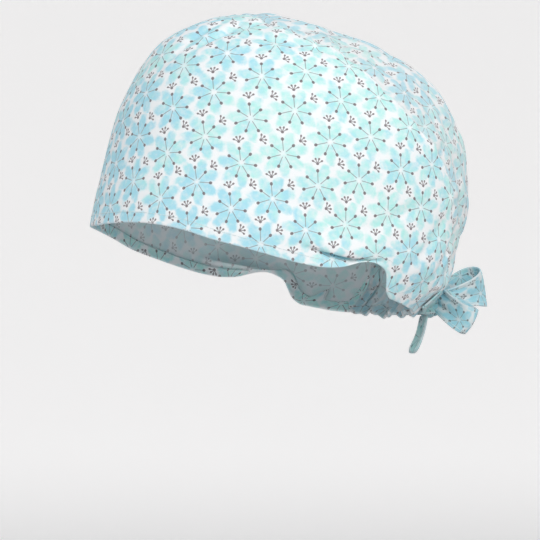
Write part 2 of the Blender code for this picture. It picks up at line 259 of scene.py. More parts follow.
# Sections of the cap from the hem to the top, as shares of the sizes above
# Columns: rise, height, front, back, side
SECTIONS = (
    (0.00, 0.000, 0.990, 0.824, 0.950),
    (0.05, 0.071, 0.995, 0.907, 0.980),
    (0.10, 0.142, 1.000, 0.971, 1.000),
    (0.15, 0.220, 1.000, 0.989, 1.000),
    (0.21, 0.315, 1.000, 0.987, 1.000),
    (0.27, 0.402, 1.000, 0.990, 1.000),
    (0.34, 0.504, 0.995, 0.965, 0.985),
    (0.41, 0.606, 0.968, 0.925, 0.955),
    (0.48, 0.701, 0.930, 0.868, 0.900),
    (0.55, 0.787, 0.860, 0.790, 0.820),
    (0.63, 0.866, 0.745, 0.675, 0.700),
    (0.71, 0.922, 0.630, 0.500, 0.545),
    (0.80, 0.965, 0.480, 0.300, 0.370),
    (0.90, 0.993, 0.300, 0.040, 0.185),
    (1.00, 1.000, 0.148, -0.154, 0.000),
)

# Height of the hem's edge over the plane of the opening, as a share of EAR_LIFT
# Columns: angle in degrees from the front, lift
HEM = (
    (0, 0.22),
    (14, 0.28),
    (24, 0.36),
    (33, 0.42),
    (47, 0.41),
    (58, 0.29),
    (70, 0.25),
    (80, 0.22),
    (90, 0.24),
    (96, 0.33),
    (101, 0.54),
    (105, 0.87),
    (108, 1.00),
    (112, 0.97),
    (115.5, 0.83),
    (118.5, 0.55),
    (121.5, 0.27),
    (126, 0.03),
    (135, 0.00),
    (155, 0.00),
    (180, 0.04),
)

# The seam from the front of the crown to the nape, on the cap flattened to a disc
# Columns: around, aside, behind
SEAM = (
    (0.00, 0.000, -0.215),
    (0.10, 0.150, -0.210),
    (0.20, 0.282, -0.168),
    (0.33, 0.380, -0.032),
    (0.45, 0.465, 0.088),
    (0.57, 0.500, 0.240),
    (0.70, 0.485, 0.430),
    (0.82, 0.505, 0.610),
    (0.91, 0.520, 0.735),
    (1.00, 0.530, 0.848),
)

# Soft dents, the same on both sides, positive inwards
# Columns: angle, rise, along, across, turn, depth
DENTS = (
    (92, 0.120, 0.30, 0.100, -20, 0.35),
    (92, 0.880, 0.90, 0.160, 0, 0.60),
    (28, 0.560, 0.45, 0.120, 35, 0.50),
    (8, 0.760, 0.30, 0.070, 20, 0.40),
    (180, 0.215, 0.55, 0.070, 0, 0.70),
    (150, 0.150, 0.25, 0.060, 40, 0.60),
)

# Small wrinkles of worn cloth, sizes in millimetres, depth positive inwards
# Columns: angle, rise, along, across, turn, depth
WRINKLES = (
    (34, 0.585, 15, 3.4, 70, 1.50),
    (24, 0.565, 13, 2.8, 75, 1.10),
    (42, 0.640, 12, 2.6, 60, 1.00),
    (49, 0.510, 9, 2.0, 36, 0.55),
    (60, 0.590, 18, 3.0, 4, 0.85),
    (78, 0.600, 14, 2.8, -8, 0.60),
    (20, 0.47, 22, 4.2, 50, 0.70),
    (-34, 0.60, 20, 3.8, -58, 1.00),
    (-60, 0.68, 16, 2.8, 10, 0.70),
    (128, 0.17, 16, 3.0, 62, 0.75),
    (140, 0.16, 18, 2.8, 70, 0.75),
    (-126, 0.18, 16, 3.0, -60, 0.75),
    (112, 0.20, 13, 3.2, 40, 0.55),
)
WRINKLE_NARROWING = 0.8
WRINKLE_BOTTOM = 1.5

# The tuck over the ear: a crease that starts in front of the ear and ends in the hem above it
# Columns: angle in degrees from the front, rise of the crease, strength
TUCK_CREASE = (
    (80, 0.0560, 0.00),
    (85, 0.0570, 0.10),
    (89, 0.0585, 0.42),
    (93, 0.0610, 0.85),
    (98, 0.0640, 1.00),
    (102, 0.0662, 0.95),
    (104.5, 0.0680, 0.70),
    (107, 0.0705, 0.50),
    (110, 0.0740, 0.20),
    (114, 0.0780, 0.00),
)
TUCK_HEM_ROOM = 0.0022
TUCK_NARROWING = 3.0
# Columns: cloth above the crease, height it lies at, outward, all in millimetres
TUCK_PROFILE = (
    (-10.0, -10.0, 0.0),
    (-5.5, -5.5, -0.6),
    (-3.0, -3.1, -2.0),
    (-1.2, -1.5, -3.4),
    (-0.3, -0.7, -4.4),
    (0.8, -0.4, -4.4),
    (2.0, -0.4, -1.6),
    (3.2, -0.2, 0.7),
    (5.0, 2.1, 1.7),
    (9.0, 7.8, 1.1),
    (16.0, 16.0, 0.0),
)


def smooth_table(rows, at):
    """Reads a table at values of its first column, with a smooth curve through its rows.

    Gives an array for each of the other columns.
    """
    rows = np.array(rows, float)
    places, values = rows[:, 0], rows[:, 1:]
    slopes = np.gradient(values, places, axis=0)
    at = np.clip(np.asarray(at, float), places[0], places[-1])
    row = np.clip(np.searchsorted(places, at) - 1, 0, len(places) - 2)
    span = (places[row + 1] - places[row])[..., None]
    share = (at - places[row])[..., None] / span
    before = (1 + 2 * share) * (1 - share) ** 2
    leave = span * share * (1 - share) ** 2
    arrive = span * share * share * (share - 1)
    read = before * values[row] + (1 - before) * values[row + 1]
    return np.moveaxis(read + leave * slopes[row] + arrive * slopes[row + 1], -1, 0)


def over_the_top(sections):
    """Adds the first section past the top, so that the dome runs smoothly over it."""
    rise, height, front, back, side = sections[-2]
    front_there = -back * BACK_REACH / FRONT_REACH
    back_there = -front * FRONT_REACH / BACK_REACH
    return sections + ((2 - rise, height, front_there, back_there, -side),)


DOME = over_the_top(SECTIONS)
TO_WORN = np.array(Matrix.Rotation(-OPENING_TILT, 3, "X"))


def fade(value, end):
    """Falls smoothly from 1 at zero to 0 at the end."""
    share = np.clip(np.abs(value) / end, 0, 1)
    return 1 - share * share * (3 - 2 * share)


def from_front(angle):
    """The same direction as an angle from the front, from 0 to half a turn."""
    return np.abs((angle + math.pi) % math.tau - math.pi)


def dome_points(angle, rise):
    """Points of the dome before it is tilted, without dents."""
    height, front, back, side = smooth_table(DOME, rise)
    front, back, side = front * FRONT_REACH, back * BACK_REACH, side * HALF_WIDTH
    across, along = np.sin(angle), -np.cos(angle)
    reach = np.abs(across) ** PLAN_SQUARENESS + np.abs(along) ** PLAN_SQUARENESS
    squared = reach ** (-1 / PLAN_SQUARENESS)
    across, along = across * squared, along * squared
    return np.stack((
        side * across * (1 + PLAN_EGG * along),
        (back - front) / 2 + (back + front) / 2 * along,
        height * CROWN_HEIGHT - OPENING_BELOW_ORIGIN,
    ), axis=-1)


def cap_points(angle, rise, outward=0.0):
    """Points of the cap as worn, moved outwards along its normal."""
    below_top = np.minimum(rise, 1 - 2 * NORMAL_STEP)
    here = dome_points(angle, below_top)
    across = dome_points(angle + NORMAL_STEP, below_top) - here
    upwards = dome_points(angle, below_top + NORMAL_STEP) - here
    normal = np.cross(across, upwards)
    normal /= np.linalg.norm(normal, axis=-1, keepdims=True)
    moved = dome_points(angle, rise) + normal * np.broadcast_to(outward, np.shape(rise))[..., None]
    return moved @ TO_WORN.T


def hem_rise(angle):
    """The rise of the hem's edge at an angle."""
    lift = smooth_table(HEM, np.degrees(from_front(angle)))[0] * EAR_LIFT
    rise, height = SECTIONS[1][:2]
    return lift / (height * CROWN_HEIGHT) * rise


def seam_place(share):
    """Angle and rise of the seam, at a share of its length from the front, left side positive."""
    aside, behind = smooth_table(SEAM, np.abs(share))
    return unflattened(np.copysign(aside, share), behind)


def flattened(angle, rise):
    """A place on the dome as a point of a flat disc, with the top at its middle."""
    return (1 - rise) * np.sin(angle), -(1 - rise) * np.cos(angle)


def unflattened(aside, behind):
    """Angle and rise of a point of the flat disc."""
    return np.arctan2(aside, -behind), 1 - np.hypot(aside, behind)


def gather_share(angle, rise):
    """How strongly the nape is gathered here, from 0 to 1."""
    return fade(rise, GATHER_FADE) * fade(math.pi - from_front(angle), GATHER_SPREAD)


def nape_pinch(angle, rise):
    """How far the knot draws the nape in."""
    across = (math.pi - from_front(angle)) * HALF_WIDTH / PINCH_WIDTH
    upwards = (rise - PINCH_RISE) / PINCH_SPREAD
    return NAPE_PINCH * np.exp(-(across**2) - upwards**2)


def ear_tuck(angle, rise):
    """How far the tuck moves the cloth up and outwards, as the cloth above rolls over the crease."""
    crease, strength = smooth_table(TUCK_CREASE, np.degrees(from_front(angle)))
    above = (rise - crease) * CLOTH_HEIGHT
    lies_at, outward = smooth_table(TUCK_PROFILE, above / MILLIMETRE) * MILLIMETRE
    within = (above > TUCK_PROFILE[0][0] * MILLIMETRE) & (above < TUCK_PROFILE[-1][0] * MILLIMETRE)
    climb = np.where(within, (lies_at - above) * strength, 0.0)
    # The hem's own edge stays out where it is
    over_hem = (rise - hem_rise(angle)) * CLOTH_HEIGHT
    near_hem = outward * np.clip(over_hem / TUCK_HEM_ROOM, 0, 1)
    outward = np.where(above < 2 * TUCK_HEM_ROOM, near_hem, outward)
    return climb / CLOTH_HEIGHT, np.where(within, outward * strength, 0.0)


def room_under_tuck(angle, rise):
    """How wide a turned hem can be before it runs into the tuck."""
    crease, strength = smooth_table(TUCK_CREASE, np.degrees(from_front(angle)))
    room = (crease - rise) * CLOTH_HEIGHT - TUCK_HEM_ROOM / 2
    return np.maximum(room, 0.0) + HEM_WIDTH * (1 - np.clip(TUCK_NARROWING * strength, 0, 1))


def on_fold(run, climb, turn, along, across):
    """Where a place lies on a turned fold, lengthwise and crosswise, as shares of the fold's size."""
    turn = math.radians(turn)
    lengthwise = (run * math.cos(turn) + climb * math.sin(turn)) / along
    crosswise = (climb * math.cos(turn) - run * math.sin(turn)) / across
    return lengthwise, crosswise


def crinkled_share(angle, rise):
    """How high the crinkles of eased cloth stand here."""
    aside, behind = flattened(angle, rise)
    total = -CRINKLE_SINK
    for across, waves, start, height, sways in CRINKLES:
        run, other = (aside, behind) if across else (behind, aside)
        sway = sum(width * np.sin(other * sway_waves + sway_start) for width, sway_waves, sway_start in sways)
        total = total + height * np.sin(run * waves + start + sway)
    return total


def cloth_relief(angle, rise, from_seam, along_seam, crinkled):
    """How far dents, gathers, puckers, wrinkles and crinkles move the cloth outwards."""
    turned = from_front(angle)
    moved = np.zeros(np.shape(rise))
    for place, level, along, across, turn, depth in DENTS:
        run = (turned - math.radians(place)) * HALF_WIDTH
        climb = (rise - level) * CLOTH_HEIGHT
        lengthwise, crosswise = on_fold(run, climb, turn, along * HALF_WIDTH, across * HALF_WIDTH)
        moved -= depth * FOLD_DEPTH * np.exp(-(lengthwise**2) - crosswise**2)
    for waves, start, height in GATHER_WAVES:
        ruffle = height * np.cos(GATHERS_AROUND * waves * (math.pi - turned) + start)
        moved += GATHER_DEPTH * gather_share(angle, rise) * ruffle
    moved -= nape_pinch(angle, rise)
    for waves, start, height in SEAM_PUCKER_WAVES:
        pucker = height * np.sin(along_seam * waves + start)
        moved += SEAM_PUCKER * pucker * np.exp(-((from_seam / SEAM_PUCKER_REACH) ** 2))
    moved -= SEAM_VALLEY * np.exp(-from_seam / SEAM_VALLEY_REACH)
    for place, level, along, across, turn, depth in WRINKLES:
        run = (angle - math.radians(place)) * HALF_WIDTH * WRINKLE_NARROWING
        climb = (rise - level) * CLOTH_HEIGHT * WRINKLE_NARROWING
        lengthwise, crosswise = on_fold(run, climb, turn, along * MILLIMETRE, across * MILLIMETRE)
        hollow = np.exp(-(lengthwise**2) - crosswise**2) * (WRINKLE_BOTTOM - crosswise**2)
        moved -= depth * MILLIMETRE * hollow
    if crinkled:
        eased = np.clip(from_seam / CRINKLE_REACH, CRINKLE_AT_SEAM, 1)
        moved += CRINKLE_DEPTH * eased * crinkled_share(angle, rise)
    for height, around, up, start, crossed_around, crossed_up, crossed_start in SLOW_WAVES:
        slow = height * np.sin(angle * around + rise * up + start)
        slow *= np.sin(angle * crossed_around + rise * crossed_up + crossed_start)
        moved += SLOW_DEPTH * slow * fade(rise - SLOW_LEVEL, SLOW_SPREAD)
    return moved


def worn_place(patch, seam_distance, crinkled=False):
    """Gives the function that lays a panel on the cap, from shares of its width and height."""
    def place(across, up, outward=0.0):
        angle, rise = patch(across, up)
        distance, along = seam_distance(across, up)
        relief = cloth_relief(angle, rise, distance, along, crinkled)
        climb, tuck = ear_tuck(angle, rise)
        return cap_points(angle, rise + climb, relief + tuck + outward)

    return place


def side_patch(across, up):
    """The side panel: from its right rear end round the front to the left, and from hem to seam."""
    side = 2 * across - 1
    nape_angle = seam_place(1.0)[0]
    hem_angle = side * nape_angle
    seam_angle, seam_level = seam_place(side * (1 - REAR_SHARE))
    angle = hem_angle + (seam_angle - hem_angle) * up
    rise = hem_rise(hem_angle) + (seam_level - hem_rise(hem_angle)) * up
    # The rear ends follow the seam
    rear_angle, rear_level = seam_place(1 - REAR_SHARE * np.clip(up, 0, 1))
    end_angle, end_level = seam_place(1 - REAR_SHARE)
    straight_angle = nape_angle + (end_angle - nape_angle) * up
    straight_level = hem_rise(nape_angle) + (end_level - hem_rise(nape_angle)) * up
    share = fade(1 - np.abs(side), REAR_BLEND)
    angle += np.sign(side) * share * (rear_angle - straight_angle)
    rise += share * (rear_level - straight_level)
    return angle, rise


def side_seam_distance(across, up):
    """Distance from the seam, and the place along it."""
    side = 2 * across - 1
    from_top = (1 - up) * SIDE_HEIGHT
    from_rear = (1 - np.abs(side)) / 2 * SIDE_LENGTH
    return np.minimum(from_top, from_rear), side * (1 - REAR_SHARE)


def points_of(piece):
    """The points of a piece, one in each row."""
    points = np.empty(len(piece.data.vertices) * 3)
    piece.data.vertices.foreach_get("co", points)
    return points.reshape(-1, 3)


def set_points(piece, points):
    """Moves a piece's points."""
    piece.data.vertices.foreach_set("co", np.ascontiguousarray(points, dtype=np.float32).ravel())
    piece.data.update()


def corner_points(piece):
    """Which point each corner of each face is at."""
    corner = np.empty(len(piece.data.loops), dtype=np.int32)
    piece.data.loops.foreach_get("vertex_index", corner)
    return corner


def cloth_grid(name, columns, rows):
    """A flat grid with the place of each of its points, from 0 to 1 both ways."""
    bpy.ops.object.select_all(action="DESELECT")
    bpy.ops.mesh.primitive_grid_add(x_subdivisions=columns, y_subdivisions=rows, size=1)
    piece = bpy.context.object
    piece.name = name
    points = points_of(piece)
    return piece, points[:, 0] + 0.5, points[:, 1] + 0.5


def set_edge_wear(piece, from_edge):
    """Gives each point how far the cloth is rubbed pale there, from its distance to a folded edge."""
    wear = piece.data.attributes.new("edge_wear", "FLOAT", "POINT")
    wear.data.foreach_set("value", np.exp(-((from_edge / WEAR_REACH) ** 2)).astype(np.float32))


def set_print_map(piece, places):
    """Gives each point its place on the flat printed cloth, in metres."""
    layer = piece.data.uv_layers.active
    layer.name = "print"
    layer.data.foreach_set("uv", places[corner_points(piece)].astype(np.float32).ravel())


def flat_cut(name, place, upright_at, origin):
    """Lays a panel flat with as little stretch as it can. Gives its flat places as a table."""
    piece, across, up = cloth_grid(name, FLAT_COLUMNS, FLAT_ROWS)
    points = place(across, up)
    set_points(piece, points)
    bpy.ops.object.mode_set(mode="EDIT")
    bpy.ops.mesh.select_all(action="SELECT")
    bpy.ops.uv.unwrap(method="MINIMUM_STRETCH", margin=0, iterations=UNWRAP_ROUNDS, no_flip=True)
    bpy.ops.object.mode_set(mode="OBJECT")
    corner = corner_points(piece)
    flat = np.empty(len(corner) * 2)
    piece.data.uv_layers.active.data.foreach_get("uv", flat)
    places = np.empty((len(points), 2))
    places[corner] = flat.reshape(-1, 2)
    order = np.lexsort((across, up))
    places = places[order].reshape(FLAT_ROWS + 1, FLAT_COLUMNS + 1, 2)
    points = points[order].reshape(FLAT_ROWS + 1, FLAT_COLUMNS + 1, 3)
    bpy.data.objects.remove(piece, do_unlink=True)
    return upright(places, points, upright_at) + np.array(origin)


def edge_total(grid):
    """The length of all edges of a grid of points."""
    return sum(np.linalg.norm(np.diff(grid, axis=axis), axis=-1).sum() for axis in (0, 1))


def upright(places, points, upright_at):
    """Turns a flat cut upright and the right way round at one place, and gives it its real size."""
    column, row = round(upright_at[0] * FLAT_COLUMNS), round(upright_at[1] * FLAT_ROWS)
    rightwards = places[row, column + 1] - places[row, column - 1]
    upwards = places[row + 1, column] - places[row - 1, column]
    if rightwards[0] * upwards[1] - rightwards[1] * upwards[0] < 0:
        places[..., 0] *= -1
        upwards[0] *= -1
    real_rightwards = points[row, column + 1] - points[row, column - 1]
    real_upwards = points[row + 1, column] - points[row - 1, column]
    normal = np.cross(real_rightwards, real_upwards)
    level = np.cross((0, 0, 1), normal)
    level /= np.linalg.norm(level)
    climb = np.cross(normal, level)
    climb /= np.linalg.norm(climb)
    lean = math.atan2(real_upwards @ climb, real_upwards @ level) - math.atan2(upwards[1], upwards[0])
    turn = np.array(((math.cos(lean), math.sin(lean)), (-math.sin(lean), math.cos(lean))))
    scale = edge_total(points) / edge_total(places)
    return ((places - places[row, column]) * scale) @ turn


def read_flat(table, across, up):
    """Reads a flat cut between its points, and on past its edges."""
    row = np.clip((up * FLAT_ROWS).astype(int), 0, FLAT_ROWS - 1)
    column = np.clip((across * FLAT_COLUMNS).astype(int), 0, FLAT_COLUMNS - 1)
    above = (up * FLAT_ROWS - row)[:, None]
    beside = (across * FLAT_COLUMNS - column)[:, None]
    lower = table[row, column] * (1 - beside) + table[row, column + 1] * beside
    upper = table[row + 1, column] * (1 - beside) + table[row + 1, column + 1] * beside
    return lower * (1 - above) + upper * above


# The parts of a panel that a grid line can lie in
START, MIDDLE, END = range(3)


def turned_edge(width):
    """Grid lines of a turned edge, from its raw end round the bend: distance inside the edge, depth."""
    fold = 2 * TURN_RADIUS
    lines = [(distance, fold) for distance in np.linspace(width, fold, TURNING_STEPS)]
    for step in range(BEND_STEPS):
        bend = math.pi * (1 - step / BEND_STEPS)
        lines.append((TURN_RADIUS * (1 - math.sin(bend)), TURN_RADIUS * (1 - math.cos(bend))))
    return lines


def grid_lines(widths, count, crowding=1.0):
    """Grid lines from one turned edge to the other. Columns: part, distance or share, depth."""
    share = np.linspace(0, 1, count + 1)
    share = EVEN_SHARE * share + (1 - EVEN_SHARE) * share**crowding
    lines = [(START, distance, depth) for distance, depth in turned_edge(widths[0])]
    lines += [(MIDDLE, value, 0.0) for value in share]
    lines += [(END, distance, depth) for distance, depth in reversed(turned_edge(widths[1]))]
    return np.array(lines)


def narrowed(distance, width, room):
    """A distance inside the edge, on a turning that narrows where it has less room."""
    fold = 2 * TURN_RADIUS
    share = np.clip((room - fold) / (width - fold), NARROWEST_TURNING, 1)
    return np.where(distance > fold, fold + (distance - fold) * share, distance)


def line_shares(lines, widths, lengths, rooms):
    """The places of grid lines between a panel's two edges, from 0 to 1."""
    part, value = lines[:, 0], lines[:, 1]
    start = narrowed(value, widths[0], rooms[0]) / lengths[0]
    end = 1 - narrowed(value, widths[1], rooms[1]) / lengths[1]
    lowest = TURN_RADIUS / lengths[0]
    highest = 1 - TURN_RADIUS / lengths[1]
    return np.select([part == START, part == MIDDLE], [start, lowest + (highest - lowest) * value], end)


def panel_length(patch, across, up, across_step, up_step):
    """How long a panel is from edge to edge, measured over one step from an edge."""
    here = cap_points(*patch(across, up))
    there = cap_points(*patch(across + across_step, up + up_step))
    return np.linalg.norm(there - here, axis=-1) / PROBE_STEP


def mirror_over_fold(flat, places, turned, across, up, across_step, up_step):
    """Moves the places of a turned edge on the flat cloth to the other side of its fold."""
    before = read_flat(flat, across - across_step, up - up_step)
    after = read_flat(flat, across + across_step, up + up_step)
    run = (after - before) / np.linalg.norm(after - before, axis=1, keepdims=True)
    fold = read_flat(flat, across, up)
    inside = places[turned] - fold
    places[turned] = fold + 2 * (inside * run).sum(axis=1, keepdims=True) * run - inside


def cut_corners(piece, column, row, across_lines, up_lines):
    """Cuts away the corners, where two turnings would lie on each other."""
    bpy.ops.object.mode_set(mode="EDIT")
    bpy.ops.mesh.select_all(action="DESELECT")
    bpy.ops.object.mode_set(mode="OBJECT")
    corner = corner_points(piece).reshape(-1, 4)
    beyond = []
    for index, lines in ((column, across_lines), (row, up_lines)):
        middle = np.nonzero(lines[:, 0] == MIDDLE)[0]
        face = index[corner].mean(axis=1)
        beyond.append((face < middle[0]) | (face > middle[-1]))
    piece.data.polygons.foreach_set("select", beyond[0] & beyond[1])
    bpy.ops.object.mode_set(mode="EDIT")
    bpy.ops.mesh.select_mode(type="FACE")
    bpy.ops.mesh.delete(type="FACE")
    bpy.ops.object.mode_set(mode="OBJECT")


def turned_panel(name, patch, place, steps, widths, crowding, upright_at, origin, fullness, material):
    """A panel with its edges turned in. widths are those of its left, right, lower and upper turnings."""
    flat = flat_cut(name + "_flat", place, upright_at, origin) * np.array((fullness, 1.0))
    side_widths, end_widths = widths[:2], widths[2:]
    across_lines = grid_lines(side_widths, steps[0])
    up_lines = grid_lines(end_widths, steps[1], crowding)
    piece, across, up = cloth_grid(name, len(across_lines) - 1, len(up_lines) - 1)
    column = np.rint(across * (len(across_lines) - 1)).astype(int)
    row = np.rint(up * (len(up_lines) - 1)).astype(int)
    beside, above = across_lines[column], up_lines[row]

    # The panel's lengths there, and the room that its turnings have
    rough_across = line_shares(beside, side_widths, (ROUGH_LENGTH, ROUGH_LENGTH), (1, 1))
    rough_up = line_shares(above, end_widths, (ROUGH_HEIGHT, ROUGH_HEIGHT), (1, 1))
    rough_across, rough_up = np.clip(rough_across, 0, 1), np.clip(rough_up, 0, 1)
    zero, one = np.zeros(len(column)), np.ones(len(column))
    heights = (
        panel_length(patch, rough_across, zero, 0, PROBE_STEP),
        panel_length(patch, rough_across, one, 0, -PROBE_STEP),
    )
    lengths = (
        panel_length(patch, zero, rough_up, PROBE_STEP, 0),
        panel_length(patch, one, rough_up, -PROBE_STEP, 0),
    )
    room_up = np.minimum(rough_across * lengths[0], (1 - rough_across) * lengths[1])
    room_across = np.minimum(rough_up * heights[0], (1 - rough_up) * heights[1])
    room_low = np.minimum(room_up, room_under_tuck(*patch(rough_across, zero)))
    across = line_shares(beside, side_widths, lengths, (room_across, room_across))
    up = line_shares(above, end_widths, heights, (room_low, room_up))
    set_points(piece, place(across, up, -(beside[:, 2] + above[:, 2])))

    places = read_flat(flat, across, up)
    for part, edge in ((START, 0.0), (END, 1.0)):
        turned = beside[:, 0] == part
        mirror_over_fold(flat, places, turned, np.full(turned.sum(), edge), up[turned], 0, PROBE_STEP / 2)
    for part, edge in ((START, 0.0), (END, 1.0)):
        turned = above[:, 0] == part
        mirror_over_fold(flat, places, turned, across[turned], np.full(turned.sum(), edge), PROBE_STEP / 2, 0)
    set_print_map(piece, places)
    from_sides = np.minimum(across * lengths[0], (1 - across) * lengths[1])
    from_ends = np.minimum(up * heights[0], (1 - up) * heights[1])
    set_edge_wear(piece, np.minimum(from_sides, from_ends))

    cut_corners(piece, column, row, across_lines, up_lines)
    piece.data.shade_smooth()
    thickness = piece.modifiers.new("cotton", "SOLIDIFY")
    thickness.thickness = COTTON
    thickness.offset = -1.0
    thickness.use_even_offset = False
    thickness.material_offset = 1
    piece.data.materials.append(material)
    piece.data.materials.append(printed_cotton_reverse)
    bpy.ops.object.modifier_apply(modifier="cotton")
    return piece


# The print: seven-rayed flowers with pin heads, washed petals between the rays, and small sprigs,
# on a turned rectangular repeat. Its chart is in millimetres on the flat cloth.
CHART_PER_METRE = 1040.0
REPEAT_WIDTH = 39.5
REPEAT_HEIGHT = 23.0
REPEAT_TURN = math.radians(-18)
FLOWERS = ((0.0, 0.0), (23.4, 6.2))
SPRIG_ABOVE = ((0.3, 10.9), (23.5, 17.1))
SPRIG_ASIDE = ((-10.4, 7.4), (8.6, 6.4))
SPRIG_TURN = math.radians(-72)
RAYS = 7
RAY_START = 1.5
RAY_UNEVENNESS = 0.5
RAY_VARIETY = 2.4
RAY_LENGTH = 7.0
RAY_HALF_WIDTH = 0.22
HEAD_RADIUS = 0.76
HEAD_LENGTH = 1.15
PETAL_MIDDLE = 6.6
PETAL_HALF_LENGTH = 5.3
PETAL_HALF_WIDTH = 2.65
SPRIG_PRONG = 2.65
SPRIG_GAP = math.radians(38)
SPRIG_FLATNESS = 1.1
SPRIG_HEAD = 0.52
SPRIG_HEAD_LENGTH = 1.3
SPRIG_STEM_HALF_WIDTH = 0.24
SPRIG_FOOT = 0.75
WASH_BAND = 290.0
EDGE_RUBBING = 0.8
COTTON_WHITE = (0.89, 0.925, 0.94, 1.0)
PETAL_MINT = (0.47, 0.86, 0.82, 1.0)
PETAL_BLUE = (0.40, 0.75, 0.87, 1.0)
HEAD_INK = (0.175, 0.145, 0.155, 1.0)
STEM_INK = (0.27, 0.31, 0.33, 1.0)
# Painted shade colours: teal for the straps and knot of the bow, grey for the crown
PAINTED_STRAP_SHADE_COLOUR = (0.10, 0.30, 0.33, 1.0)
CROWN_PAINTED_SHADE_COLOUR = (0.56, 0.54, 0.53, 1.0)

# How softly the parts of the print end: lines in millimetres, ovals as shares of their size
RAY_SOFTNESS = 0.09
RAY_TIP_SOFTNESS = 0.2
RAY_ROOT_SOFTNESS = 0.3
HEAD_SOFTNESS = 0.16
PETAL_SOFTNESS = 0.34
SPRIG_SOFTNESS = 0.02
SPRIG_HEAD_SOFTNESS = 0.22
SPRIG_STEM_SOFTNESS = 0.08
SPRIG_TIP_SOFTNESS = 0.2
SPRIG_FOOT_SOFTNESS = 0.14

# How strongly the inks and the dye cover the cotton
STEM_COVER = 0.85
HEAD_COVER = 0.92
BAND_BLUE = 0.42
HEM_BLUE = -0.45
HEM_BLUE_BELOW = (-15.0, 45.0)
BLUE_MIDDLE = 0.5
BLUE_SOFTNESS = 0.5
BLUE_STRENGTH = 0.22
# Columns: scale, detail, contrast, offset
CLOUDS = {
    "petal edge": (0.36, 3.0, 1.0, -0.5),
    "wide wash": (0.022, 1.0, 2.0, -0.55),
    "small wash": (0.14, 2.0, 1.8, -0.9),
    "strength": (0.30, 3.0, 1.9, -0.22),
    "rubbing": (0.9, 3.0, 1.0, 0.0),
}

# Weave and surface of the cotton
THREADS_PER_MILLIMETRE = 3.2
THREAD_CHANGES = 0.35
WEAVE_STRENGTH = 0.35
WEAVE_HEIGHT = 0.0002
COTTON_ROUGHNESS = 0.70
WEAVE_ROUGHNESS = 0.12
COTTON_SHEEN = 0.10
COTTON_SHEEN_ROUGHNESS = 0.5

# Share of the print lost on the reverse, then shares of painted shade, a darker colour blended over the
# bow loops, over the ties, knot and free ends, and over the crown for the shade of its crinkles
REVERSE_FADING = 0.55
LOOP_PAINTED_SHADE_SHARE = 0.26
TIE_PAINTED_SHADE_SHARE = 0.42
CROWN_PAINTED_SHADE_SHARE = 0.26


def feed(tree, socket, value):
    """Links a socket to another, or gives it a number."""
    if isinstance(value, bpy.types.NodeSocket):
        tree.links.new(value, socket)
    else:
        socket.default_value = value


def calculate(tree, operation, *values):
    """A number worked out from others."""
    node = tree.nodes.new("ShaderNodeMath")
    node.operation = operation
    for socket, value in zip(node.inputs, values):
        feed(tree, socket, value)
    return node.outputs[0]


def calculate_place(tree, operation, *values):
    """A place worked out from others."""
    node = tree.nodes.new("ShaderNodeVectorMath")
    node.operation = operation
    for socket, value in zip(node.inputs, values):
        feed(tree, socket, value)
    return node.outputs["Value" if operation in ("LENGTH", "DISTANCE") else "Vector"]


def turned_place(tree, place, angle):
    """A place turned on the flat cloth."""
    node = tree.nodes.new("ShaderNodeVectorRotate")
    node.rotation_type = "Z_AXIS"
    feed(tree, node.inputs["Vector"], place)
    node.inputs["Angle"].default_value = angle
    return node.outputs["Vector"]


def below(tree, value, edge, softness):
    """1 where a value is below an edge, 0 above it, with a soft step."""
    node = tree.nodes.new("ShaderNodeMapRange")
    node.interpolation_type = "SMOOTHSTEP"
    feed(tree, node.inputs["Value"], value)
    node.inputs["From Min"].default_value = edge - softness
    node.inputs["From Max"].default_value = edge + softness
    node.inputs["To Min"].default_value = 1.0
    node.inputs["To Max"].default_value = 0.0
    return node.outputs["Result"]


def in_sector(tree, angle, radius, width):
    """Across and along the middle line of the sector that a point lies in."""
    folded = calculate(tree, "WRAP", angle, width / 2, -width / 2)
    across = calculate(tree, "MULTIPLY", radius, calculate(tree, "SINE", folded))
    along = calculate(tree, "MULTIPLY", radius, calculate(tree, "COSINE", folded))
    return across, along


def blob(tree, across, along, half_width, half_length, wobble=0.0):
    """The distance from an oval's middle, as a share of its size."""
    across = calculate(tree, "DIVIDE", across, half_width)
    along = calculate(tree, "DIVIDE", along, half_length)
    square = calculate(tree, "MULTIPLY", across, across)
    squares = calculate(tree, "MULTIPLY_ADD", along, along, square)
    return calculate(tree, "ADD", calculate(tree, "SQRT", squares), wobble)


def from_middle(tree, place):
    """How far a place is from the middle of its motif, and its angle from straight up."""
    parts = tree.nodes.new("ShaderNodeSeparateXYZ")
    feed(tree, parts.inputs[0], place)
    angle = calculate(tree, "ARCTAN2", parts.outputs["Y"], parts.outputs["X"])
    return calculate_place(tree, "LENGTH", place), calculate(tree, "SUBTRACT", angle, math.pi / 2)


